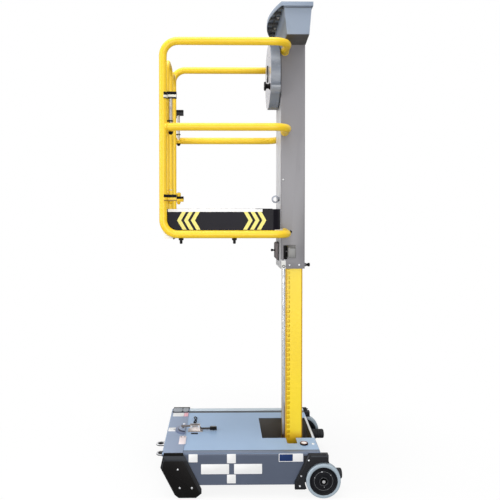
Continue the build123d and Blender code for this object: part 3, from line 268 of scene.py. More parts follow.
def chassis_marks(coat, shade):
    """Inside of the chassis painted its own gray as painted shade of the opening."""
    inner = abs(coat.y).rise(*CHASSIS_WALL) * coat.x.inside(*CHASSIS_ENDS)
    return coat.blend(inner, shade, CHASSIS_INSIDE_SHADE)


GUIDE_FACE = 0.2528
GUIDE_HALF = 0.095
GUIDE_BARE = (0.46, 0.48, 0.52)
# Painted shade on the guide strip's lower part and in the slots; the column's foot turns a deeper orange.
GUIDE_SHADE_BROWN = (0.13, 0.055, 0.025)
GUIDE_SHADED_BELOW = (0.46, 0.41)
DEEPER_ORANGE_BELOW = (0.30, 0.25)
DEEPER_ORANGE = (0.66, 0.33, 0.01)
SLOT_DEPTH = (0.11, 0.1147)
SLOT_SHADE_ORANGE = (0.62, 0.31, 0.01)


def column_marks(coat, shade):
    """Bare guide strip on the front with painted shade on its lower part, a deeper orange towards the foot,
    and painted shade in the slots.
    """
    front = coat.x.rise(GUIDE_FACE + 0.0004, GUIDE_FACE - 0.0004)
    guide = front * abs(coat.y).rise(GUIDE_HALF + 0.001, GUIDE_HALF)
    bare = coat.blend(coat.z.rise(*GUIDE_SHADED_BELOW), GUIDE_BARE, GUIDE_SHADE_BROWN)
    shade = coat.blend(coat.z.rise(*DEEPER_ORANGE_BELOW) * 0.6, shade, DEEPER_ORANGE)
    shade = coat.blend(guide, shade, bare)
    return coat.blend(abs(coat.y).inside(*SLOT_DEPTH), shade, SLOT_SHADE_ORANGE)


# Front face of the mast: partly its own paler finish, partly painted light; its foot is painted light.
MAST_FRONT_PALE_AND_LIT = (0.60, 0.61, 0.65)
MAST_FRONT_EDGE = (0.2183, 0.2177)
PAINTED_LIGHT_BELOW = (1.50, 1.49)
MAST_FOOT_PAINTED_LIGHT = (0.96, 0.96, 0.97)


def mast_marks(coat, shade):
    """Front face of the mast painted paler, partly its own lighter finish and partly painted light from the
    left, palest at its foot as painted light under the platform.
    """
    front = coat.blend(coat.z.rise(*PAINTED_LIGHT_BELOW), MAST_FRONT_PALE_AND_LIT, MAST_FOOT_PAINTED_LIGHT)
    return coat.blend(coat.x.rise(*MAST_FRONT_EDGE), shade, front)


WHEEL_FACE = (0.152, 0.1512)
# Painted reflection on the wheel's face, painted shadow at the back of its band; the dark line colour is
# painted shade.
WHEEL_FACE_REFLECTION = (0.40, 0.40, 0.45)
WHEEL_GAP_SHADOW = (0.2085, 0.2125)
SHADE_LINE_DARK = (0.02, 0.02, 0.022)


def wheel_marks(skin, shade):
    """Face of the hand wheel painted pale as painted reflection, and a dark ring at the back of its band as
    painted shadow of the gap to the mast.
    """
    shade = skin.blend(skin.x.rise(*WHEEL_FACE), shade, WHEEL_FACE_REFLECTION)
    return skin.blend(skin.x.inside(*WHEEL_GAP_SHADOW) * 0.85, shade, SHADE_LINE_DARK)


TRAY_RIM_FOOT = 2.842
TUB_FOOT = 2.690
TUB_FRONT = 0.216
TUB_LEAN = 20 / 152
# Painted shade on the tub's front wall and underside, painted shadow under its rim.
TUB_WALL_SHADE = (0.145, 0.172, 0.205)
RIM_SHADOW_LINE = (0.02, 0.022, 0.028)
TUB_UNDERSIDE_SHADE = (0.085, 0.082, 0.080)


def tray_marks(skin, shade):
    """Painted shadow under the rim, and painted shade on the tub's front wall and underside."""
    sunk = (TRAY_RIM_FOOT - skin.z) * TUB_LEAN
    below_rim = skin.z.rise(TRAY_RIM_FOOT + 0.001, TRAY_RIM_FOOT)
    shaded_wall = (skin.x - TUB_FRONT - sunk).rise(0.0022, 0.0014) * below_rim
    shade = skin.blend(shaded_wall * skin.x.rise(TUB_FRONT - 0.003, TUB_FRONT - 0.002), shade, TUB_WALL_SHADE)
    rim_shadow = skin.z.inside(TRAY_RIM_FOOT - 0.0045, TRAY_RIM_FOOT - 0.0005) * abs(skin.y).rise(0.25, 0.26)
    shade = skin.blend(rim_shadow * 0.8, shade, RIM_SHADOW_LINE)
    return skin.blend(skin.z.rise(TUB_FOOT + 0.0010, TUB_FOOT + 0.0002), shade, TUB_UNDERSIDE_SHADE)


# Edges of the hitch lugs painted dark as painted shade.
HITCH_SHADED_EDGES = ((0.1575, 0.1630), (0.0955, 0.1010))


def hitch_marks(metal, shade):
    """Painted shade on the edges of the hitch lugs."""
    for low, high in HITCH_SHADED_EDGES:
        shade = metal.blend(metal.z.inside(low, high), shade, SHADE_LINE_DARK)
    return shade


LIP_TOP = 1.5435
# The lip's paler colour is painted light.
LIP_PAINTED_LIGHT = (0.92, 0.91, 0.90)
FLOOR_SIDES = (0.3138, 0.3142)


def floor_marks(metal, shade):
    """Front lip painted pale as painted light, and dark sides of the platform floor."""
    shade = metal.blend(metal.z.rise(LIP_TOP + 0.0005, LIP_TOP), shade, LIP_PAINTED_LIGHT)
    side = abs(metal.y).rise(*FLOOR_SIDES) * metal.z.rise(LIP_TOP - 0.0005, LIP_TOP)
    return metal.blend(side, shade, BLACK)


YELLOW_CAPS_BELOW = (1.81, 1.80)


def cap_marks(skin, shade):
    """Yellow caps on the lower hinge pins."""
    return skin.blend(skin.z.rise(*YELLOW_CAPS_BELOW), shade, YELLOW_DULL)


# Painted shade on the lower, slanted sides of the feet's border.
BORDER_SHADE_BELOW = (0.224, 0.210)
BORDER_PAINTED_SHADE = (0.015, 0.0155, 0.018)


def border_marks(skin, shade):
    """Painted shade on the slanted sides of the feet, below their lit top edge."""
    return skin.blend(skin.z.rise(*BORDER_SHADE_BELOW), shade, BORDER_PAINTED_SHADE)


NUT_RIM_SQUARED = (0.000075, 0.000090)


def nut_marks(metal, shade):
    """Dark oily rim of the nuts round the bright ends of the stub axles."""
    along, up = metal.x - AXLE[0], metal.z - AXLE[1]
    return metal.blend((along * along + up * up).rise(*NUT_RIM_SQUARED), shade, BLACK)


SOCKET_FLANGE = 0.265
SOCKET_TOP = 0.273
SOCKET_MIDDLE = (-0.376, -0.025)
# Painted shade on the boss wall and round its foot; the paler top is painted light.
SOCKET_SHADOW_BAND = (0.0395, 0.0470)
SOCKET_SHADE = (0.030, 0.036, 0.068)


def socket_marks(coat, shade):
    """Top of the drawbar socket painted the step's paler blue as painted light, painted shade on the wall of
    its boss and in a band round its foot.
    """
    shade = coat.blend(coat.z.inside(SOCKET_FLANGE + 0.0006, SOCKET_TOP - 0.0026), shade, SOCKET_SHADE)
    along, across = coat.x - SOCKET_MIDDLE[0], coat.y - SOCKET_MIDDLE[1]
    foot = (along * along + across * across).inside(SOCKET_SHADOW_BAND[0] ** 2, SOCKET_SHADOW_BAND[1] ** 2, 0.00004)
    shade = coat.blend(foot, shade, SOCKET_SHADE)
    return coat.blend(coat.z.rise(SOCKET_TOP - 0.0020, SOCKET_TOP - 0.0008), shade, STEP_BLUE)


BLACK_SHINE = 0.10
finishes = {
    "yellow_paint": paint(YELLOW, YELLOW_DULL),
    "gray_paint": paint(
        (0.224, 0.218, 0.234), (0.199, 0.193, 0.207), 0.32, streak=(1, 1, 0.25), marks=mast_marks
    ),
    "deck_paint": paint((0.345, 0.49, 0.70), (0.31, 0.445, 0.64), 0.36, 0.0002, marks=deck_marks),
    "slate_paint": paint(SHADED_DECK_SLATE, SHADED_DECK_SLATE_DULL, 0.40, shine=0.4),
    "black_paint": paint(BLACK, BLACK_DUST, 0.38, shine=BLACK_SHINE),
    "black_plastic": moulding(BLACK, BLACK_DUST, 0.40, shine=BLACK_SHINE),
    "tray_plastic": moulding((0.255, 0.31, 0.40), (0.22, 0.27, 0.35), 0.42, marks=tray_marks),
    "wheel_plastic": moulding((0.180, 0.204, 0.248), (0.145, 0.164, 0.200), 0.20, marks=wheel_marks),
    "pad_plastic": moulding((0.84, 0.84, 0.82), (0.70, 0.69, 0.65), 0.5),
    "zinc_steel": plating(ZINC, ZINC_DULL),
    "tyre_rubber": moulding((0.36, 0.435, 0.50), (0.30, 0.36, 0.41), 0.50, 0.0003),
    "buffer_rubber": moulding((0.010, 0.011, 0.014), (0.022, 0.022, 0.024), 0.55, shine=0.3),
    "ballast_iron": moulding((0.08, 0.074, 0.070), (0.11, 0.095, 0.085), 0.7, 0.0006),
    "lens_glass": moulding((0.92, 0.90, 0.89), (0.86, 0.84, 0.82), 0.08, 0.00002),
    "toe_board": paint((0.007, 0.006, 0.012), BLACK, 0.14, 0.00004, marks=board_marks, shine=0.08),
    "base_frame": paint(SHADED_DECK_SLATE, SHADED_DECK_SLATE_DULL, 0.40, marks=chassis_marks, shine=0.4),
    "mast_column": paint((0.95, 0.71, 0.020), (0.90, 0.63, 0.016), 0.34, marks=column_marks),
    "step_plate": paint(STEP_BLUE, (0.235, 0.295, 0.415), 0.42, 0.0003),
    "brake_housing": paint((0.16, 0.135, 0.135), (0.12, 0.10, 0.10), 0.35, shine=0.4),
    "anchor_eye": plating((0.16, 0.17, 0.19), (0.10, 0.10, 0.11), 0.30),
    "hinge_rods": plating((0.46, 0.43, 0.39), (0.36, 0.33, 0.30), 0.34),
    "platform_floor": plating((0.74, 0.74, 0.74), (0.60, 0.60, 0.60), 0.42, marks=floor_marks, share=0.35),
    "hitch_bracket": plating((0.80, 0.81, 0.83), (0.66, 0.66, 0.68), 0.35, marks=hitch_marks, share=0.5),
    "clamp_bed": plating((0.42, 0.38, 0.36), (0.28, 0.25, 0.24), 0.36),
    "clamp_arm": plating((0.20, 0.175, 0.165), (0.12, 0.105, 0.10), 0.36),
    "clamp_lever": plating((0.045, 0.040, 0.040), (0.03, 0.028, 0.028), 0.36, share=0.3),
    "wheel_axles": plating(ZINC, ZINC_DULL, marks=nut_marks),
    "drawbar_socket": paint((0.125, 0.160, 0.265), (0.10, 0.13, 0.22), 0.25, marks=socket_marks),
    "wheel_bracket": paint((0.013, 0.0135, 0.016), (0.022, 0.023, 0.026), 0.40, shine=0.16),
    "wheel_hub": moulding((0.009, 0.0095, 0.012), (0.018, 0.018, 0.021), 0.40, shine=0.12),
    # Hub beads: lighter gray as painted highlight.
    "hub_bead": moulding((0.15, 0.155, 0.165), (0.10, 0.105, 0.11), 0.45),
    "pale_block": paint((0.84, 0.82, 0.72), (0.72, 0.69, 0.58), 0.30),
    "dark_block": paint((0.016, 0.017, 0.022), (0.030, 0.031, 0.036), 0.35, shine=0.2),
    "yellow_block": paint(YELLOW, YELLOW_DULL, 0.30),
    "brown_block": paint((0.36, 0.20, 0.02), (0.30, 0.16, 0.016), 0.35),
    "catch_cover": paint((0.212, 0.212, 0.208), (0.190, 0.189, 0.186), 0.32),
    # Dark strips on the catch cover's edges: painted shadow.
    "cover_line": paint((0.075, 0.074, 0.078), (0.06, 0.06, 0.063), 0.4),
    # Edge strips of the deck: the near one painted darker as painted shade, the far one painted pale as
    # painted highlight.
    "near_strip": paint((0.15, 0.19, 0.275), (0.13, 0.165, 0.24), 0.42, 0.0003),
    "far_strip": paint((0.66, 0.76, 0.84), (0.60, 0.70, 0.78), 0.42, 0.0003),
    # Pale strip on the clamp's grip: painted highlight.
    "grip_inlay": moulding((0.26, 0.27, 0.28), (0.20, 0.21, 0.22), 0.5),
    # Knob barrel: the wheel plastic made lighter as painted light.
    "knob_barrel": moulding((0.25, 0.27, 0.31), (0.20, 0.22, 0.25), 0.20),
    "hub_plate": moulding((0.035, 0.036, 0.042), (0.05, 0.05, 0.055), 0.45, shine=0.2),
    # Pale plates at the lip's ends: painted light.
    "lip_end": moulding((0.90, 0.88, 0.86), (0.84, 0.82, 0.80), 0.5),
    "rose_plate": moulding((0.88, 0.48, 0.55), (0.82, 0.44, 0.50), 0.45, 0.00003, shine=0.3),
    "rod_caps": moulding(BLACK, BLACK_DUST, 0.4, marks=cap_marks, shine=BLACK_SHINE),
    "white_plate": moulding(WHITE, (0.84, 0.84, 0.83), 0.45, 0.00003, shine=0.3),
    "blue_plate": moulding((0.010, 0.032, 0.125), (0.009, 0.027, 0.105), 0.45, 0.00003, shine=0.25),
    "pink_plate": moulding((0.90, 0.79, 0.80), (0.85, 0.74, 0.75), 0.45, 0.00003, shine=0.3),
    "foot_face": moulding((0.0075, 0.0068, 0.0068), (0.014, 0.013, 0.013), 0.42, shine=0.08),
    # Feet border: the black plastic made lighter as painted light on its slopes, with painted shade lower
    # down.
    "foot_border": moulding(
        (0.042, 0.046, 0.054), (0.058, 0.062, 0.070), 0.45, marks=border_marks, shine=0.25
    ),
    "foot_pad": moulding((0.34, 0.365, 0.40), (0.24, 0.26, 0.285), 0.6, 0.0004),
    "level_ring": moulding((0.20, 0.035, 0.030), (0.15, 0.03, 0.026), 0.3),
    "tray_rib": moulding((0.07, 0.072, 0.078), (0.12, 0.12, 0.125), 0.5),
}
for name, material in finishes.items():
    material.name = name.replace("_", " ")
body_of = {name: body for body, members in record["behaviour"]["bodies"].items() for name in members}
slot_of = {part["node"]: part["material_slot"] for part in record["subparts"]}


def finish_of(name):
    """Name of a CAD node's finish: its own, its pair's or its slot's."""
    pair = name.removesuffix("_near").removesuffix("_far")
    return pair if pair in finishes else slot_of[name]


for name in slot_of:
    slots = nodes[name].data.materials
    slots.clear()
    slots.append(finishes[finish_of(name)])


def add_object(name, data):
    """A new object at the origin of the scene."""
    made = bpy.data.objects.new(name, data)
    scene.collection.objects.link(made)
    return made


SHARP = radians(35)
SMOOTH = radians(38)


class Form:
    """Mesh of one piece, shaped by operators and then hung on a body."""

    def __init__(self):
        self.bm = bmesh.new()

    def soften(self, known, width, segments=2, along=None):
        """Round the sharp edges of what is not yet known, or only those that run along one axis."""
        edges = []
        for edge in self.bm.edges:
            run = edge.verts[1].co - edge.verts[0].co
            aligned = along is None or abs(run[along]) > 0.999 * run.length
            if edge.verts[0] not in known and aligned and edge.calc_face_angle(0) > SHARP:
                edges.append(edge)
        bmesh.ops.bevel(
            self.bm, geom=edges, offset=width, affect="EDGES", segments=segments, profile=0.5, material=-1,
            clamp_overlap=True,
        )

    def block(self, low, high, edge=0.0015, corner=0.0, along=2):
        """Box between two corners with rounded edges, the four along one axis rounded more."""
        known = set(self.bm.verts)
        low, high = Vector(low), Vector(high)
        made = bmesh.ops.create_cube(self.bm, size=1)["verts"]
        bmesh.ops.scale(self.bm, vec=high - low, verts=made)
        bmesh.ops.translate(self.bm, vec=(high + low) / 2, verts=made)
        if corner:
            self.soften(known, corner, 5, along)
        self.soften(known, edge)

    def slab(self, outline, push, edge=0.001, lid=None):
        """Outline pushed along a vector, towards another outline if a lid is given, with rounded edges."""
        known = set(self.bm.verts)
        face = self.bm.faces.new([self.bm.verts.new(point) for point in outline])
        grown = bmesh.ops.extrude_face_region(self.bm, geom=[face], use_keep_orig=True)["geom"]
        top = [item for item in grown if isinstance(item, bmesh.types.BMVert)]
        bmesh.ops.translate(self.bm, vec=push, verts=top)
        if lid:
            for vert, point in zip(top, lid):
                vert.co = point
        self.soften(known, edge)

    def turned(self, profile, origin, axis, steps=48):
        """Turn a profile of places along an axis and radii about that axis."""
        axis = Vector(axis).normalized()
        out = axis.orthogonal().normalized()
        spots = [self.bm.verts.new(Vector(origin) + axis * along + out * radius) for along, radius in profile]
        chain = [self.bm.edges.new(pair) for pair in zip(spots, spots[1:])]
        bmesh.ops.spin(
            self.bm, geom=spots + chain, cent=origin, axis=axis, angle=tau, steps=steps, use_merge=True
        )

    def socket_head(self, place, direction, radius=0.006, height=0.004):
        """Domed screw head with a six-sided socket."""
        dome = [(height * sin(t), radius * cos(t)) for t in (0.0, 0.35, 0.7, 1.05)]
        cup = radius * 0.46
        rim = [(height, cup), (height * 0.35, cup), (height * 0.35, 0)]
        self.turned([(-0.001, 0), (-0.001, radius), *dome, *rim], place, direction, 24)

    def hex_head(self, place, direction, radius, height):
        """Six-sided bolt head with a broken edge."""
        edge = [(0, radius), (height - 0.001, radius), (height, radius - 0.001)]
        self.turned([(0, 0), *edge, (height, 0)], place, direction, 6)

    def wire(self, points, radius, sides=10):
        """Round wire along a closed line of points."""
        loops = []
        for before, point, after in zip(points[-1:] + points[:-1], points, points[1:] + points[:1]):
            turn = (Vector(after) - Vector(before)).to_track_quat("Z", "Y").to_matrix().to_4x4()
            place = Matrix.Translation(point) @ turn
            made = bmesh.ops.create_circle(self.bm, radius=radius, segments=sides, matrix=place)
            loops.append({edge for vert in made["verts"] for edge in vert.link_edges})
        for loop, following in zip(loops, loops[1:] + loops[:1]):
            bmesh.ops.bridge_loops(self.bm, edges=list(loop | following))

    def hang(self, name, body, slot, *stands_for, finish=None):
        """Close the mesh, give it a finish and hang it on a body, in place of CAD nodes if any are named."""
        bmesh.ops.remove_doubles(self.bm, verts=self.bm.verts, dist=1e-6)
        bmesh.ops.recalc_face_normals(self.bm, faces=self.bm.faces)
        mesh = bpy.data.meshes.new(name)
        self.bm.to_mesh(mesh)
        self.bm.free()
        mesh.materials.append(finishes[finish or slot])
        mesh.shade_smooth()
        mesh.set_sharp_from_angle(angle=SMOOTH)
        piece = add_object(name, mesh)
        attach(piece, body)
        if stands_for:
            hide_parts(*stands_for)


def rounded_copy(name, edge):
    """A CAD node's own shape with its sharp edges rounded."""
    form = Form()
    form.bm.from_mesh(nodes[name].data)
    bmesh.ops.remove_doubles(form.bm, verts=form.bm.verts, dist=1e-5)
    bmesh.ops.join_triangles(
        form.bm, faces=form.bm.faces, angle_face_threshold=radians(1), angle_shape_threshold=pi
    )
    form.soften(set(), edge)
    form.hang(f"{name}_rounded", body_of[name], slot_of[name], name, finish=finish_of(name))


ROUNDED = {
    "outer_mast": 0.0015, "tool_tray": 0.0015, "step_plate": 0.0012, "hitch_bracket": 0.0012,
    "brake_housing": 0.002, "drawbar_socket": 0.001,
    "wheel_bracket_near": 0.002, "wheel_bracket_far": 0.002, "clamp_bed": 0.0006, "clamp_arm": 0.0008,
}
for name, edge in ROUNDED.items():
    rounded_copy(name, edge)


def shoulder(bend, core, turns):
    """Rounded edge of a turned profile, from the face outwards."""
    return [(bend - bend * cos(t), core + bend * sin(t)) for t in turns]


def inset(outline, gaps):
    """Flat outline, listed clockwise, with each edge moved inwards by its own gap."""
    lines = []
    for start, end, gap in zip(outline, outline[1:] + outline[:1], gaps):
        along = (end - start).normalized()
        lines.append((start + Vector((along.y, -along.x)) * gap, along))
    points = []
    for (spot, run), (next_spot, next_run) in zip(lines[-1:] + lines[:-1], lines):
        reach = (next_spot - spot).cross(next_run) / run.cross(next_run)
        points.append(spot + run * reach)
    return points


FOOT_SLANT = 0.102
FOOT_SOLE = 0.100
FOOT_TOE = 0.032
FOOT_TOE_HEIGHT = 0.051
FOOT_HEEL = 0.023
FOOT_HEEL_LIFT = 0.018
FOOT_SHOULDER = 0.075
FOOT_BROW = 0.017
FOOT_BORDERS = (0.030, 0.015, 0.006, 0.006, 0.006, 0.006, 0.006, 0.010)
FOOT_DEPTH = 0.015
FOOT_RIM = 0.005
FOOT_SLOPE = 0.009
FOOT_FACE_SINK = 0.0015
FOOT_FACE_GAP = 0.0025
FOOT_BLOCK_TOP = 0.072
FOOT_CAP = (0.019, 0.003, 0.358, 0.246, 0.2625)
CORNER_TRAY = (-0.4835, -0.3705, 0.264, 0.3435)
CORNER_PADS = ((-0.4805, -0.4165), (-0.4125, -0.3735))


def front_feet():
    """Skid feet: moulded covers with a sloped border and a cap on the deck's edge. Pads on the far corner."""
    for s, side in SIDES:
        foot = f"front_foot_{side}"
        low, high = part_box(foot)
        inner, outer = (high.y, low.y) if s < 0 else (low.y, high.y)
        flush = outer - s * FOOT_DEPTH
        toe, top = high.x, high.z
        sole = toe - FOOT_TOE
        heel = sole - FOOT_SOLE
        corners = (
            (low.x + FOOT_BROW, top), (toe - FOOT_SLANT, top), (toe, FOOT_TOE_HEIGHT),
            (toe, FOOT_TOE_HEIGHT / 2), (sole, 0), (heel, 0),
            (heel - FOOT_HEEL, FOOT_HEEL_LIFT), (low.x, top - FOOT_SHOULDER),
        )
        outline = [Vector(corner) for corner in corners]
        face = inset(outline, FOOT_BORDERS)
        rim = flush + s * FOOT_RIM
        crown = [(x, outer - s * 0.001, z) for x, z in face]
        border = Form()
        border.slab([(x, flush, z) for x, z in outline], (0, s * FOOT_RIM, 0), 0.0004)
        border.slab([(x, rim, z) for x, z in outline], (0, s * FOOT_SLOPE, 0), 0.0012, crown)
        border.block((heel, inner, 0), (sole, flush, FOOT_BLOCK_TOP), 0.002)
        # The border's finish is painted light and shade.
        border.hang(f"foot_border_{side}", "base", "black_plastic", foot, finish="foot_border")
        plate = Form()
        sunk = outer - s * FOOT_FACE_SINK
        panel = [(x, sunk, z) for x, z in inset(face, [FOOT_FACE_GAP] * len(face))]
        plate.slab(panel, (0, s * FOOT_FACE_SINK, 0), 0.0006)
        back, front, out, bottom, cap_top = FOOT_CAP
        cap_high = (toe - FOOT_SLANT - front, s * out, cap_top)
        plate.block((low.x + back, s * SIDE_FACE, bottom), cap_high, 0.002)
        plate.hang(f"foot_face_{side}", "base", "black_plastic", finish="foot_face")
    x0, x1, y0, y1 = CORNER_TRAY
    tray = Form()
    tray.block((x0, y0, STEP_TOP - 0.0005), (x1, y1, STEP_TOP + 0.002), 0.0008, 0.010)
    tray.hang("corner_tray", "base", "black_plastic")
    pads = Form()
    for x0, x1 in CORNER_PADS:
        pads.block((x0, y0 + 0.010, STEP_TOP + 0.0015), (x1, y1 - 0.006, STEP_TOP + 0.006), 0.0015, 0.014)
    pads.hang("corner_pads", "base", "black_plastic", finish="foot_pad")


front_feet()

FOOT_SCREWS = ((-0.398, 0.170), (-0.387, 0.063), (-0.317, 0.063))
BRACKET_SCREWS = ((0.306, 0.0695), (0.313, 0.128), (0.357, 0.219))
LEVEL_SCREW = (0.405, -0.230, DECK_TOP)
STEP_SCREW = (-0.389, 0.068, STEP_TOP)
MAST_SCREWS = ((0.274, 1.324), (0.333, 1.324), (0.233, 1.849))


def screws():
    """Socket screws of feet, wheel brackets, step, level and mast."""
    form = Form()
    for s in WAYS:
        face = s * BRACKET_FACE
        for x, z in FOOT_SCREWS:
            form.socket_head((x, face - s * 0.001, z), (0, s, 0))
        for x, z in BRACKET_SCREWS:
            form.socket_head((x, face, z), (0, s, 0))
    form.hang("base_socket_screws", "base", "zinc_steel", "base_screws")
    form = Form()
    form.socket_head(STEP_SCREW, (0, 0, 1), 0.008, 0.007)
    form.hang("step_screw", "base", "zinc_steel")
    form = Form()
    form.socket_head(LEVEL_SCREW, (0, 0, 1), 0.009)
    form.hang("level_screw", "base", "zinc_steel", finish="white_plate")
    form = Form()
    for s in WAYS:
        for x, z in MAST_SCREWS:
            form.socket_head((x, s * MAST_FACE, z), (0, s, 0))
    form.hang("mast_socket_screws", "carriage", "zinc_steel", "mast_screws")


screws()

RIM_RADIUS = 0.0805
TYRE_SETBACK = 0.002
TYRE_ROUND = 0.006
TYRE_SHOULDER = 0.094
TYRE_TURNS = (0.0, 0.4, 0.8, 1.2, 1.57)
WHEEL_STEPS = 72
HUB_RINGS = (
    (0.012, 0.016), (0.001, 0.018), (0.000, 0.021), (0.000, 0.029), (0.007, 0.032), (0.007, 0.040),
    (0.0055, 0.041), (0.0055, 0.044), (0.007, 0.045), (0.007, 0.063), (0.0045, 0.065), (0.0045, 0.069),
    (0.007, 0.071), (0.001, 0.077), (0.000, 0.079), (0.001, RIM_RADIUS),
)
HUB_BEADS = ((-0.0005, 0.0225, 0.0245), (0.006, 0.053, 0.055))
HUB_SCREWS = ((100, 0.054, 0.0045), (-84, 0.034, 0.0032), (40, 0.054, 0.003), (160, 0.054, 0.003))
BRACKET_RIB = ((0.2865, 0.082), (0.3525, 0.247), (0.3605, 0.247), (0.2945, 0.082))
BRACKET_HOOD = ((0.368, 0.2465), (0.470, 0.2465), (0.470, 0.2385), (0.372, 0.2385))


def road_wheels():
    """Moulded hubs with beads and screws, tyres with rounded shoulders, ribs on the brackets."""
    tyre_round = shoulder(TYRE_ROUND, TYRE_SHOULDER, TYRE_TURNS)
    for s, side in SIDES:
        low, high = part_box(f"wheel_tyre_{side}")
        width = high.y - low.y
        face = low.y if s < 0 else high.y
        centre = (AXLE[0], face, AXLE[1])
        inward = (0, -s, 0)
        wheel = f"wheel_{side}"
        tyre = Form()
        front = [(TYRE_SETBACK + along, radius) for along, radius in tyre_round]
        back = [(width - along, radius) for along, radius in reversed(tyre_round)]
        inner = [
            (width, RIM_RADIUS + 0.004), (width - 0.002, RIM_RADIUS),
            (TYRE_SETBACK + 0.002, RIM_RADIUS), (TYRE_SETBACK, RIM_RADIUS + 0.003),
        ]
        tyre.turned([*front, *back, *inner, front[0]], centre, inward, WHEEL_STEPS)
        tyre.hang(f"road_tyre_{side}", wheel, "tyre_rubber", f"wheel_tyre_{side}")
        hub = Form()
        hollow = width - 0.012
        back = [(width, RIM_RADIUS), (width, 0.066), (hollow, 0.060), (hollow, 0.016), (0.014, 0.016)]
        hub.turned([*HUB_RINGS, *back, HUB_RINGS[0]], centre, inward, WHEEL_STEPS)
        hub.hang(f"road_hub_{side}", wheel, "black_plastic", f"wheel_hub_{side}", finish="wheel_hub")
        bolts = Form()
        for turn, ring, size in HUB_SCREWS:
            turn = radians(turn)
            spot = (AXLE[0] + ring * cos(turn), face - s * 0.007, AXLE[1] + ring * sin(turn))
            bolts.socket_head(spot, (0, s, 0), size, 0.003)
        bolts.hang(f"hub_screws_{side}", wheel, "zinc_steel")
        beads = Form()
        for start, small, large in HUB_BEADS:
            crown = (small + large) / 2
            bead = [(start + 0.001, small), (start, crown), (start + 0.001, large)]
            seat = [(start + 0.002, large), (start + 0.002, small)]
            beads.turned([*bead, *seat, bead[0]], centre, inward, WHEEL_STEPS)
        # The beads' lighter gray is painted highlight.
        beads.hang(f"hub_beads_{side}", wheel, "black_plastic", finish="hub_bead")
        ribs = Form()
        for outline in (BRACKET_RIB, BRACKET_HOOD):
            ribs.slab([(x, s * (BRACKET_FACE - 0.0005), z) for x, z in outline], (0, s * 0.003, 0), 0.001)
        # The ribs take the feet's border finish, lighter as painted light.
        ribs.hang(f"wheel_bracket_ribs_{side}", "base", "black_paint", finish="foot_border")


road_wheels()

BUFFER_GROOVES = (0.070, 0.086, 0.102)
BUFFER_ROUND = 0.008


def buffers():
    """Rubber buffers with turned grooves and a rounded nose."""
    low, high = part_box("rear_buffers")
    radius = (high.z - low.z) / 2
    reach = high.x - low.x
    profile = [(0, 0), (0, radius)]
    for place in BUFFER_GROOVES:
        profile += [(place, radius), (place + 0.002, radius - 0.002), (place + 0.004, radius)]
    flat, core = reach - BUFFER_ROUND, radius - BUFFER_ROUND
    for t in QUARTER_TURN:
        profile.append((flat + BUFFER_ROUND * sin(t), core + BUFFER_ROUND * cos(t)))
    profile += [(reach, 0.012), (reach - 0.006, 0.010), (reach - 0.006, 0)]
    form = Form()
    for s in WAYS:
        form.turned(profile, (low.x, s * (high.y - radius), low.z + radius), (1, 0, 0))
    form.hang("buffer_rubbers", "base", "buffer_rubber", "rear_buffers")


buffers()

PLATES = (
    ("white", "pad_plastic", 0.0012), ("blue", "slate_paint", 0.0018),
    ("pink", "pad_plastic", 0.0012), ("rose", "pad_plastic", 0.0012),
)
SIDE_PLATES = {
    "white": (
        (-0.265, -0.103, 0.136, 0.194), (-0.074, 0.088, 0.136, 0.194), (-0.337, -0.285, 0.206, 0.253),
        (-0.115, -0.064, 0.199, 0.253), (-0.115, -0.064, 0.082, 0.133), (0.185, 0.326, 0.206, 0.253),
    ),
    "blue": ((0.1885, 0.266, 0.2095, 0.250),),
}
STEP_PLATES = {
    "white": ((-0.476, -0.402, 0.196, 0.258), (-0.484, -0.436, -0.046, 0.010)),
    "pink": ((-0.404, -0.363, -0.232, -0.118),),
    "rose": ((-0.400, -0.372, 0.196, 0.258),),
}
PLATE_SCREWS = ((-0.396, -0.132), (-0.372, -0.132), (-0.448, -0.018))


def bare_plates():
    """Plain plates on the sides and the step."""
    for tint, slot, depth in PLATES:
        form = Form()
        for x0, x1, z0, z1 in SIDE_PLATES.get(tint, ()):
            for s in WAYS:
                form.block((x0, s * SIDE_FACE, z0), (x1, s * (SIDE_FACE + depth), z1), 0.0004, 0.003, 1)
        for x0, x1, y0, y1 in STEP_PLATES.get(tint, ()):
            form.block((x0, y0, STEP_TOP), (x1, y1, STEP_TOP + depth), 0.0004, 0.004)
        form.hang(f"bare_{tint}_plates", "base", slot, finish=f"{tint}_plate")
    pins = Form()
    for x, y in PLATE_SCREWS:
        pins.socket_head((x, y, STEP_TOP + 0.0012), (0, 0, 1), 0.0042, 0.0024)
    pins.hang("plate_screws", "base", "black_plastic")


bare_plates()

EDGE_STRIP = (-0.3685, 0.4285)
EDGE_STRIP_TOP = 0.2583
DECK_SLOT = ((-0.338, -0.081, DECK_TOP - 0.0005), (-0.294, -0.062, DECK_TOP + 0.0012))
CLIP_MIDDLE = (-0.3195, 0.131)
CLIP_REACH = (0.0085, 0.048)
CLIP_WIRE = 0.0034
CLIP_STEPS = 40
EDGE_STRIPS = (("near", -0.349, -0.318), ("far", 0.302, 0.3425))
LEVEL_RING = (
    (-0.001, 0.0168), (-0.001, 0.0205), (0.0008, 0.0202),
    (0.0016, 0.0190), (0.0008, 0.0172), (-0.001, 0.0168),
)
GRIP_RISE = 0.004
GRIP_HIGHLIGHT = (-0.216, -0.180, -0.028, -0.017)


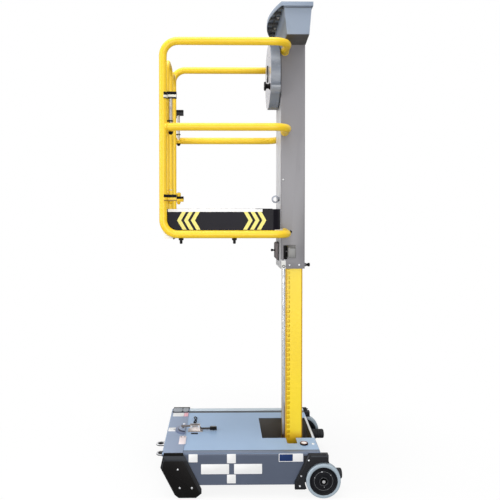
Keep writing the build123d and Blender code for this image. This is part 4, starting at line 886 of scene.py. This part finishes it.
def deck_fittings():
    """Raised strips on the deck's edges, pull slot, wire clip, the level's ring and the clamp's handle, with
    a pale strip on its grip as painted highlight.
    """
    for side, y0, y1 in EDGE_STRIPS:
        strip_painted_light = Form()
        strip_painted_light.block((EDGE_STRIP[0], y0, DECK_TOP - 0.001), (EDGE_STRIP[1], y1, EDGE_STRIP_TOP), 0.001, 0.008)
        # Each strip's finish is painted light: shade on the near one, highlight on the far one.
        strip_painted_light.hang(f"deck_strip_{side}", "base", "deck_paint", finish=f"{side}_strip")
    slot = Form()
    slot.block(*DECK_SLOT, 0.0004, 0.004)
    clip = []
    for step in range(CLIP_STEPS):
        t = tau * step / CLIP_STEPS
        x = CLIP_MIDDLE[0] + CLIP_REACH[0] * sin(2 * t)
        y = CLIP_MIDDLE[1] - CLIP_REACH[1] * cos(t)
        clip.append(Vector((x, y, DECK_TOP + CLIP_WIRE * (2 + sin(t)))))
    slot.wire(clip, CLIP_WIRE)
    slot.hang("deck_black_fittings", "base", "black_plastic")
    low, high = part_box("level_lens")
    middle = ((low.x + high.x) / 2, (low.y + high.y) / 2, high.z)
    ring = Form()
    ring.turned(LEVEL_RING, middle, (0, 0, 1))
    ring.hang("level_ring", "base", "black_plastic", finish="level_ring")
    low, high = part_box("clamp_grip")
    handle = Form()
    handle.block(low, (high.x, high.y, high.z + GRIP_RISE), 0.003, 0.007, 0)
    handle.hang("clamp_handle", "clamp_lever", "black_plastic", "clamp_grip")
    # Pale strip on top of the grip, painted highlight.
    x0, x1, y0, y1 = GRIP_HIGHLIGHT
    highlight = Form()
    highlight.block((x0, y0, high.z + GRIP_RISE - 0.001), (x1, y1, high.z + GRIP_RISE + 0.001), 0.0006, 0.004)
    highlight.hang("grip_inlay", "clamp_lever", "black_plastic", finish="grip_inlay")


deck_fittings()

HITCH_PIN = (-0.535, 0.0)
HITCH_LUGS = (0.164, 0.102)
HITCH_WASHER = (
    (0.0, 0.0085), (0.0, 0.0180), (0.0012, 0.0180), (0.0018, 0.0172), (0.0018, 0.0085), (0.0, 0.0085),
)


def hitch_washers():
    """Dark wear washers round the pin hole on top of each hitch lug."""
    form = Form()
    for top in HITCH_LUGS:
        form.turned(HITCH_WASHER, (*HITCH_PIN, top), (0, 0, 1), 40)
    form.hang("hitch_washers", "base", "black_plastic")


hitch_washers()

KNOB_SPOT = (-0.1474, 2.4164)
KNOB_BARREL = 0.043
KNOB_ROUND = 0.004
BARREL_FACE = 0.1525
BARREL_LENGTH = 0.0585
HUB_PLATE = ((0.1435, -0.018, 2.472), (0.1505, 0.018, 2.579))


def crank_fittings():
    """Black hub plate on the hand wheel and the barrel that holds its knob."""
    plate = Form()
    plate.block(*HUB_PLATE, 0.0015, 0.016, 0)
    plate.hang("crank_hub_plate", "crank", "black_plastic", finish="hub_plate")
    barrel = Form()
    rim = shoulder(KNOB_ROUND, KNOB_BARREL - KNOB_ROUND, QUARTER_TURN)
    end = [(BARREL_LENGTH - 0.001, KNOB_BARREL), (BARREL_LENGTH, KNOB_BARREL - 0.001), (BARREL_LENGTH, 0)]
    barrel.turned([(0, 0), *rim, *end], (BARREL_FACE, *KNOB_SPOT), (1, 0, 0), 56)
    # The barrel's lighter finish is painted light.
    barrel.hang("crank_knob_barrel", "crank", "wheel_plastic", finish="knob_barrel")


crank_fittings()

TRAY_RIBS = (-0.263, -0.1655, -0.068, 0.0295, 0.127, 0.2245)
TRAY_BOW = 0.054
TRAY_RIB_END = 0.2165
TRAY_BAR = (0.186, 0.1885, 0.250)
TRAY_BOLTS = (-0.085, 0.113)
TRAY_BOLT_LINE = 0.206


def tray_underside():
    """Ribs and bolts in the hollow front lip of the tray."""
    low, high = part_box("tool_tray")
    floor = high.z - 0.003
    form = Form()
    for y in TRAY_RIBS:
        front = low.x + TRAY_BOW * (y / high.y) ** 2 + 0.006
        form.block((front, y - 0.0025, TRAY_RIM_FOOT + 0.0015), (TRAY_RIB_END, y + 0.0025, floor), 0.0006)
    x0, x1, half = TRAY_BAR
    form.block((x0, -half, TRAY_RIM_FOOT + 0.004), (x1, half, floor), 0.0006)
    form.hang("tray_ribs", "carriage", "tray_plastic", finish="tray_rib")
    bolts = Form()
    for y in TRAY_BOLTS:
        bolts.hex_head((TRAY_BOLT_LINE, y, TRAY_RIM_FOOT + 0.012), (0, 0, -1), 0.008, 0.007)
        washer = (TRAY_BOLT_LINE, y, TRAY_RIM_FOOT + 0.013)
        bolts.turned([(0, 0), (0, 0.011), (0.0015, 0.011), (0.0015, 0)], washer, (0, 0, -1), 24)
    bolts.hang("tray_bolts", "carriage", "zinc_steel")


tray_underside()

WINDOW_BEZEL = (0.235, 0.2584, 1.359, 1.4435)
WINDOW_RIBS = 6
WINDOW_PITCH = 0.0128
RAIL_BOLT = (0.279, 1.5285)
SLOT_LINER = (0.2555, 0.2815, -0.1055, -0.1045)
WINDOW_SCREW = (0.2545, 1.408)
FOOT_PINS = ((0.2215, 1.3545), (0.242, 1.3545))
SEAL_RIM = 0.002
SEAL_BAR = 0.006
SEAL_LAP = 0.0015
SEAL_STEP = 0.0002
PAD_RING = (
    (-0.001, 0.006), (-0.001, 0.0095), (0.0016, 0.0095), (0.0026, 0.0085), (0.0026, 0.006), (-0.001, 0.006),
)
PAD_RING_SPOT = (0.2375, -0.131, 1.3145)
CATCH_WALL = 0.0022
CATCH_LAP = 0.0007
CATCH_SHOULDER = 1.4355


def mast_fittings():
    """Dark fittings: ribbed window cover, brake box seal and ring on the slide pad, with dark strips round
    the catch as painted shadow.
    """
    x0, x1, z0, z1 = WINDOW_BEZEL
    face = -MAST_FACE
    dark = Form()
    dark.block((x0, face - 0.0016, z0), (x1, face + 0.0008, z1), 0.0004, 0.002, 1)
    for step in range(WINDOW_RIBS):
        z = z0 + 0.010 + step * WINDOW_PITCH
        dark.block((x0 + 0.003, face - 0.0045, z), (x1 - 0.006, face - 0.001, z + 0.005), 0.001)
    dark.hex_head((RAIL_BOLT[0], face, RAIL_BOLT[1]), (0, -1, 0), 0.009, 0.005)
    low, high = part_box("brake_housing")
    y0, y1, z0, z1 = low.y - SEAL_RIM, high.y + SEAL_RIM, low.z - SEAL_RIM, high.z + SEAL_RIM
    for start in (z0, z1 - SEAL_BAR):
        dark.block((high.x - 0.004, y0, start), (high.x - 0.0002, y1, start + SEAL_BAR), 0.001)
    for start in (y0 + SEAL_STEP, y1 - SEAL_STEP - SEAL_BAR):
        corner = (high.x - 0.0004, start + SEAL_BAR, z1 - SEAL_BAR + SEAL_LAP)
        dark.block((high.x - 0.0038, start, z0 + SEAL_BAR - SEAL_LAP), corner, 0.001)
    dark.turned(PAD_RING, PAD_RING_SPOT, (0, -1, 0), 32)
    # Dark strips to the right of and below the catch and along its fold: painted shadow.
    low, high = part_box("catch_housing")
    edge_high = (high.x + 0.003, face + 0.0006, high.z - 0.002)
    dark.block((high.x - 0.001, face - 0.0012, low.z - 0.003), edge_high, 0.0004)
    dark.block((low.x, face - 0.0012, low.z - 0.003), (high.x - 0.002, face + 0.0006, low.z + 0.001), 0.0004)
    fold_low = (low.x + 0.012, low.y - 0.0008, CATCH_SHOULDER - 0.0045)
    fold_high = (high.x - 0.003, low.y + 0.0008, CATCH_SHOULDER - 0.0015)
    dark.block(fold_low, fold_high, 0.0003)
    dark.hang("mast_black_fittings_and_catch_shadows", "carriage", "black_plastic")


def catch_cover():
    """Folded cover of the catch, with dark strips along its right and bottom edges as painted shadow."""
    low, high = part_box("catch_housing")
    cover = Form()
    ends = (
        (low.y, CATCH_SHOULDER), (high.y, high.z),
        (high.y, high.z - CATCH_WALL), (low.y, CATCH_SHOULDER - CATCH_WALL),
    )
    cover.slab([(low.x, y, z) for y, z in ends], (high.x - low.x, 0, 0), 0.0006)
    near, foot, top = low.y + CATCH_LAP, low.z + CATCH_LAP, CATCH_SHOULDER - CATCH_LAP
    cover.block(low, (high.x, low.y + CATCH_WALL, top), 0.0006)
    cover.block((low.x, near, low.z), (high.x, high.y, low.z + CATCH_WALL), 0.0006)
    cover.block((low.x, near, foot), (low.x + CATCH_WALL, high.y, top), 0.0006)
    sides = ((near, foot), (high.y, foot), (high.y, high.z - CATCH_LAP), (near, top))
    cover.slab([(high.x - CATCH_WALL, y, z) for y, z in sides], (CATCH_WALL, 0, 0), 0.0006)
    cover.hang("catch_cover", "carriage", "gray_paint", "catch_housing", finish="catch_cover")
    # Dark strips along the right and bottom edges are painted shadow.
    shadow_lines = Form()
    front, back, end = low.y - 0.0006, low.y + 0.001, high.x - 0.0012
    shadow_lines.block((high.x - 0.0030, front, low.z + 0.004), (end, back, CATCH_SHOULDER - 0.006), 0.0002)
    shadow_lines.block((low.x + 0.004, front, low.z + 0.0014), (end, back, low.z + 0.0034), 0.0002)
    shadow_lines.hang("catch_cover_shadow_lines", "carriage", "gray_paint", finish="cover_line")


def liner_and_screws():
    """Yellow liner behind the column's slots and the small screws of the mast foot."""
    low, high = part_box("mast_column")
    liner = Form()
    x0, x1, y0, y1 = SLOT_LINER
    liner.block((x0, y0, low.z + 0.05), (x1, y1, high.z - 0.02), 0.0003)
    liner.hang("slot_liner", "base", "yellow_paint", finish="mast_column")
    bright = Form()
    x, z = WINDOW_SCREW
    bright.socket_head((x, -MAST_FACE - 0.0016, z), (0, -1, 0), 0.0035, 0.003)
    for x, z in FOOT_PINS:
        bright.socket_head((x, -MAST_FACE, z), (0, -1, 0), 0.0032, 0.0026)
    bright.hang("catch_screws", "carriage", "zinc_steel")


mast_fittings()
catch_cover()
liner_and_screws()

KNOBS = (
    ("brake", 1, (
        (0, 0), (0.0, 0.006), (0.002, 0.008), (0.010, 0.008), (0.014, 0.0055), (0.019, 0.0048),
        (0.0215, 0.0068), (0.024, 0.0068), (0.024, 0.005), (0.032, 0.005), (0.032, 0),
    )),
    ("lock", -1, (
        (0, 0), (0, 0.008), (0.003, 0.0115), (0.006, 0.012), (0.013, 0.0105), (0.016, 0.0075),
        (0.021, 0.0068), (0.0225, 0.010), (0.0275, 0.010), (0.0275, 0.005), (0.0415, 0.005), (0.0415, 0),
    )),
)


def knobs():
    """Pull knobs of the brake and of the mast lock: flared caps on narrow necks."""
    for name, way, profile in KNOBS:
        low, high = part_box(f"{name}_knob")
        tip = low.x if way > 0 else high.x
        knob = Form()
        knob.turned(profile, (tip, (low.y + high.y) / 2, (low.z + high.z) / 2), (way, 0, 0), 32)
        knob.hang(f"{name}_pull", body_of[f"{name}_knob"], "black_plastic", f"{name}_knob")


knobs()

BRACKETS = (("upper", 2.329, 0.0105), ("lower", 1.734, 0.0))
BRACKET_FINISHES = {
    ("near", "upper"): ("pale_block", "dark_block"),
    ("near", "lower"): ("yellow_block", "brown_block"),
    ("far", "upper"): ("dark_block", "dark_block"),
    ("far", "lower"): ("yellow_block", "yellow_block"),
}
BRACKET_PLAN = (-0.480, -0.407, 0.282, 0.315)
POST_SPOT = (-0.482, 0.3375)
BAND_TURNS = (-76, *range(-60, 75, 15))
BAND_WALL = ((0.0227, 1), (0.0262, -1))
ROD_GUIDE = (-0.480, -0.428, 0.284, 0.3148, 2.178, 2.183)
ROD_SPOT = (-0.441, 0.297)
CAP_TOPS = (2.119, 1.715)


def gate_fittings():
    """Gate brackets of plates round a block, bands round the posts, bolts, guides and caps of the rods."""
    plates, bolts, caps, guides = Form(), Form(), Form(), Form()
    x0, x1, y0, y1 = BRACKET_PLAN
    dome = [(0.006 + 0.012 * sin(t), 0.0125 * cos(t)) for t in (0.0, 0.3, 0.6, 0.9, 1.2)]
    cap = [(0, 0), (0, 0.0135), (0.003, 0.0140), (0.0055, 0.0135), *dome, (0.018, 0)]
    turns = [radians(turn) for turn in BAND_TURNS]
    band = [(radius, turn) for radius, order in BAND_WALL for turn in turns[::order]]
    for s, side in SIDES:
        for place, level, drop in BRACKETS:
            block, sole = Form(), Form()
            layers = ((plates, 0.002, 0.019), (block, -0.0125, 0.002), (sole, -0.018, -0.0125))
            for form, bottom, top in layers:
                form.block((x0, s * y0, level + bottom), (x1, s * y1, level + top), 0.0012, 0.004)
                outline = []
                for radius, turn in band:
                    x = POST_SPOT[0] + radius * cos(turn)
                    outline.append((x, s * (POST_SPOT[1] - radius * sin(turn)), level + bottom - drop))
                form.slab(outline, (0, 0, top - bottom), 0.0008)
            finish, sole_finish = BRACKET_FINISHES[side, place]
            block.hang(f"gate_block_{place}_{side}", "carriage", "zinc_steel", finish=finish)
            sole.hang(f"gate_sole_{place}_{side}", "carriage", "black_plastic", finish=sole_finish)
            spot = (x1 - 0.004, s * (y0 + y1) / 2, level - 0.004)
            bolts.hex_head(spot, (1, 0, 0), 0.0075, 0.0045)
        near, far, inner, outer, bottom, top = ROD_GUIDE
        guides.block((near, s * inner, bottom), (far, s * outer, top), 0.001, 0.004)
        for top in CAP_TOPS:
            caps.turned(cap, (ROD_SPOT[0], s * ROD_SPOT[1], top), (0, 0, -1), 32)
    plates.hang("gate_bracket_plates", "carriage", "black_plastic", "gate_brackets")
    bolts.hang("gate_bracket_bolts", "carriage", "black_plastic")
    guides.hang("rod_guides", "carriage", "black_plastic")
    caps.hang("rod_domes", "carriage", "black_plastic", "rod_caps", finish="rod_caps")


gate_fittings()

RAIL_TUBE = 0.0225
RAIL_END = 0.242
POST_FACE = -0.460
RAIL_LEVELS = (2.6315, 2.1415, 1.5235)
LIP_END = (-0.4845, -0.4265, 0.3120, 0.3146, 1.4935, 1.5438)


def rail_welds():
    """Weld beads where the rails meet the mast and the posts, and pale plates at the ends of the floor's
    folded lip as painted light.
    """
    raised = ((0, -0.001), (0, 0.003), (0.0016, 0.0024), (0.0030, 0.0010), (0.0036, -0.001), (0, -0.001))
    bead = [(along, RAIL_TUBE + rise) for along, rise in raised]
    form = Form()
    for s in WAYS:
        for level in RAIL_LEVELS:
            form.turned(bead, (RAIL_END, s * (MAST_FACE + 0.0001), level), (0, s, 0), 36)
        form.turned(bead, (POST_FACE, s * POST_SPOT[1], RAIL_LEVELS[1]), (1, 0, 0), 36)
    form.hang("rail_welds", "carriage", "yellow_paint")
    # Pale plates over the ends of the lip are painted light.
    near, far, inner, outer, bottom, top = LIP_END
    ends = Form()
    for s in WAYS:
        ends.block((near, s * inner, bottom), (far, s * outer, top), 0.0006)
    ends.hang("lip_end_painted_light_plates", "carriage", "pad_plastic", finish="lip_end")


rail_welds()

WORLD_LIGHT = 0.45
FLOOR_SIZE = 40
FLOOR_BOUNCE = (0.35, 0.35, 0.35)
FLOOR_PALE = (0.92, 0.92, 0.92)
FLOOR_GLOW = 0.88
SHADOW_REACH = (0.7, 1.9)


def soft_box(name, place, aim, size, watts):
    """A large studio lamp pointed at a spot."""
    lamp = bpy.data.lights.new(name, "AREA")
    lamp.shape = "RECTANGLE"
    lamp.size, lamp.size_y = size
    lamp.energy = watts
    holder = add_object(name, lamp)
    holder.location = place
    holder.rotation_euler = (Vector(aim) - Vector(place)).to_track_quat("-Z", "Y").to_euler()


def surroundings():
    """White world for what the camera and the shiny surfaces see, gray for the light on the object."""
    world = bpy.data.worlds.new("studio")
    scene.world = world
    sky = Nodes(world)
    rays = ("Is Camera Ray", "Is Glossy Ray", "Is Transmission Ray")
    camera, glossy, clear = (sky.node("ShaderNodeLightPath", output=ray) for ray in rays)
    seen = camera.math("MAXIMUM", glossy.math("MAXIMUM", clear))
    level = sky.node("ShaderNodeMapRange", {}, {"Value": seen, "To Min": WORLD_LIGHT})
    light = sky.tree.nodes["Background"].inputs
    sky.feed(light["Color"], (1, 1, 1))
    sky.feed(light["Strength"], level)


def pale_floor():
    """Pale floor with a faint shadow near the object. It fades into the white and sends little light back."""
    form = bmesh.new()
    bmesh.ops.create_grid(form, x_segments=1, y_segments=1, size=FLOOR_SIZE)
    mesh = bpy.data.meshes.new("floor")
    form.to_mesh(mesh)
    form.free()
    floor = add_object("floor", mesh)
    pale = Finish("floor")
    seen = pale.node("ShaderNodeLightPath", output="Is Camera Ray")
    pale.set(Base_Color=pale.blend(seen, FLOOR_BOUNCE, FLOOR_PALE), Roughness=0.9)
    reach = (pale.x * pale.x + pale.y * pale.y) ** 0.5
    share = seen * (FLOOR_GLOW + reach.rise(*SHADOW_REACH) * (1 - FLOOR_GLOW))
    layers = {0: share, 1: Wire(pale, pale.shader.outputs[0]), 2: pale.node("ShaderNodeEmission")}
    surface = pale.tree.nodes["Material Output"].inputs["Surface"]
    pale.feed(surface, pale.node("ShaderNodeMixShader", {}, layers))
    mesh.materials.append(pale.material)


LAMPS = (
    ("top lamp", (-0.4, -0.6, 5.6), (0, 0, 1.2), (3.6, 3.6), 160),
    ("left lamp", (-4.2, -2.0, 2.2), (0, 0, 1.3), (2.6, 3.4), 90),
    ("front lamp", (0.6, -5.2, 1.7), (0, 0, 1.1), (3.4, 3.2), 135),
)
CAMERA_PLACE = (-0.155, -3.448, 1.687)
CAMERA_TURN = (89, 0, -0.8)
CAMERA_LENS = 38.88
CAMERA_SHIFT = (0.0449, -0.0692)


def studio():
    """Surroundings, floor, lamps and the camera at the photograph's place."""
    scene.view_settings.view_transform = "Standard"
    surroundings()
    pale_floor()
    for lamp in LAMPS:
        soft_box(*lamp)
    view = bpy.data.cameras.new("camera")
    view.lens = CAMERA_LENS
    view.shift_x, view.shift_y = CAMERA_SHIFT
    eye = add_object("camera", view)
    eye.location = CAMERA_PLACE
    eye.rotation_euler = [radians(turn) for turn in CAMERA_TURN]
    scene.camera = eye


studio()
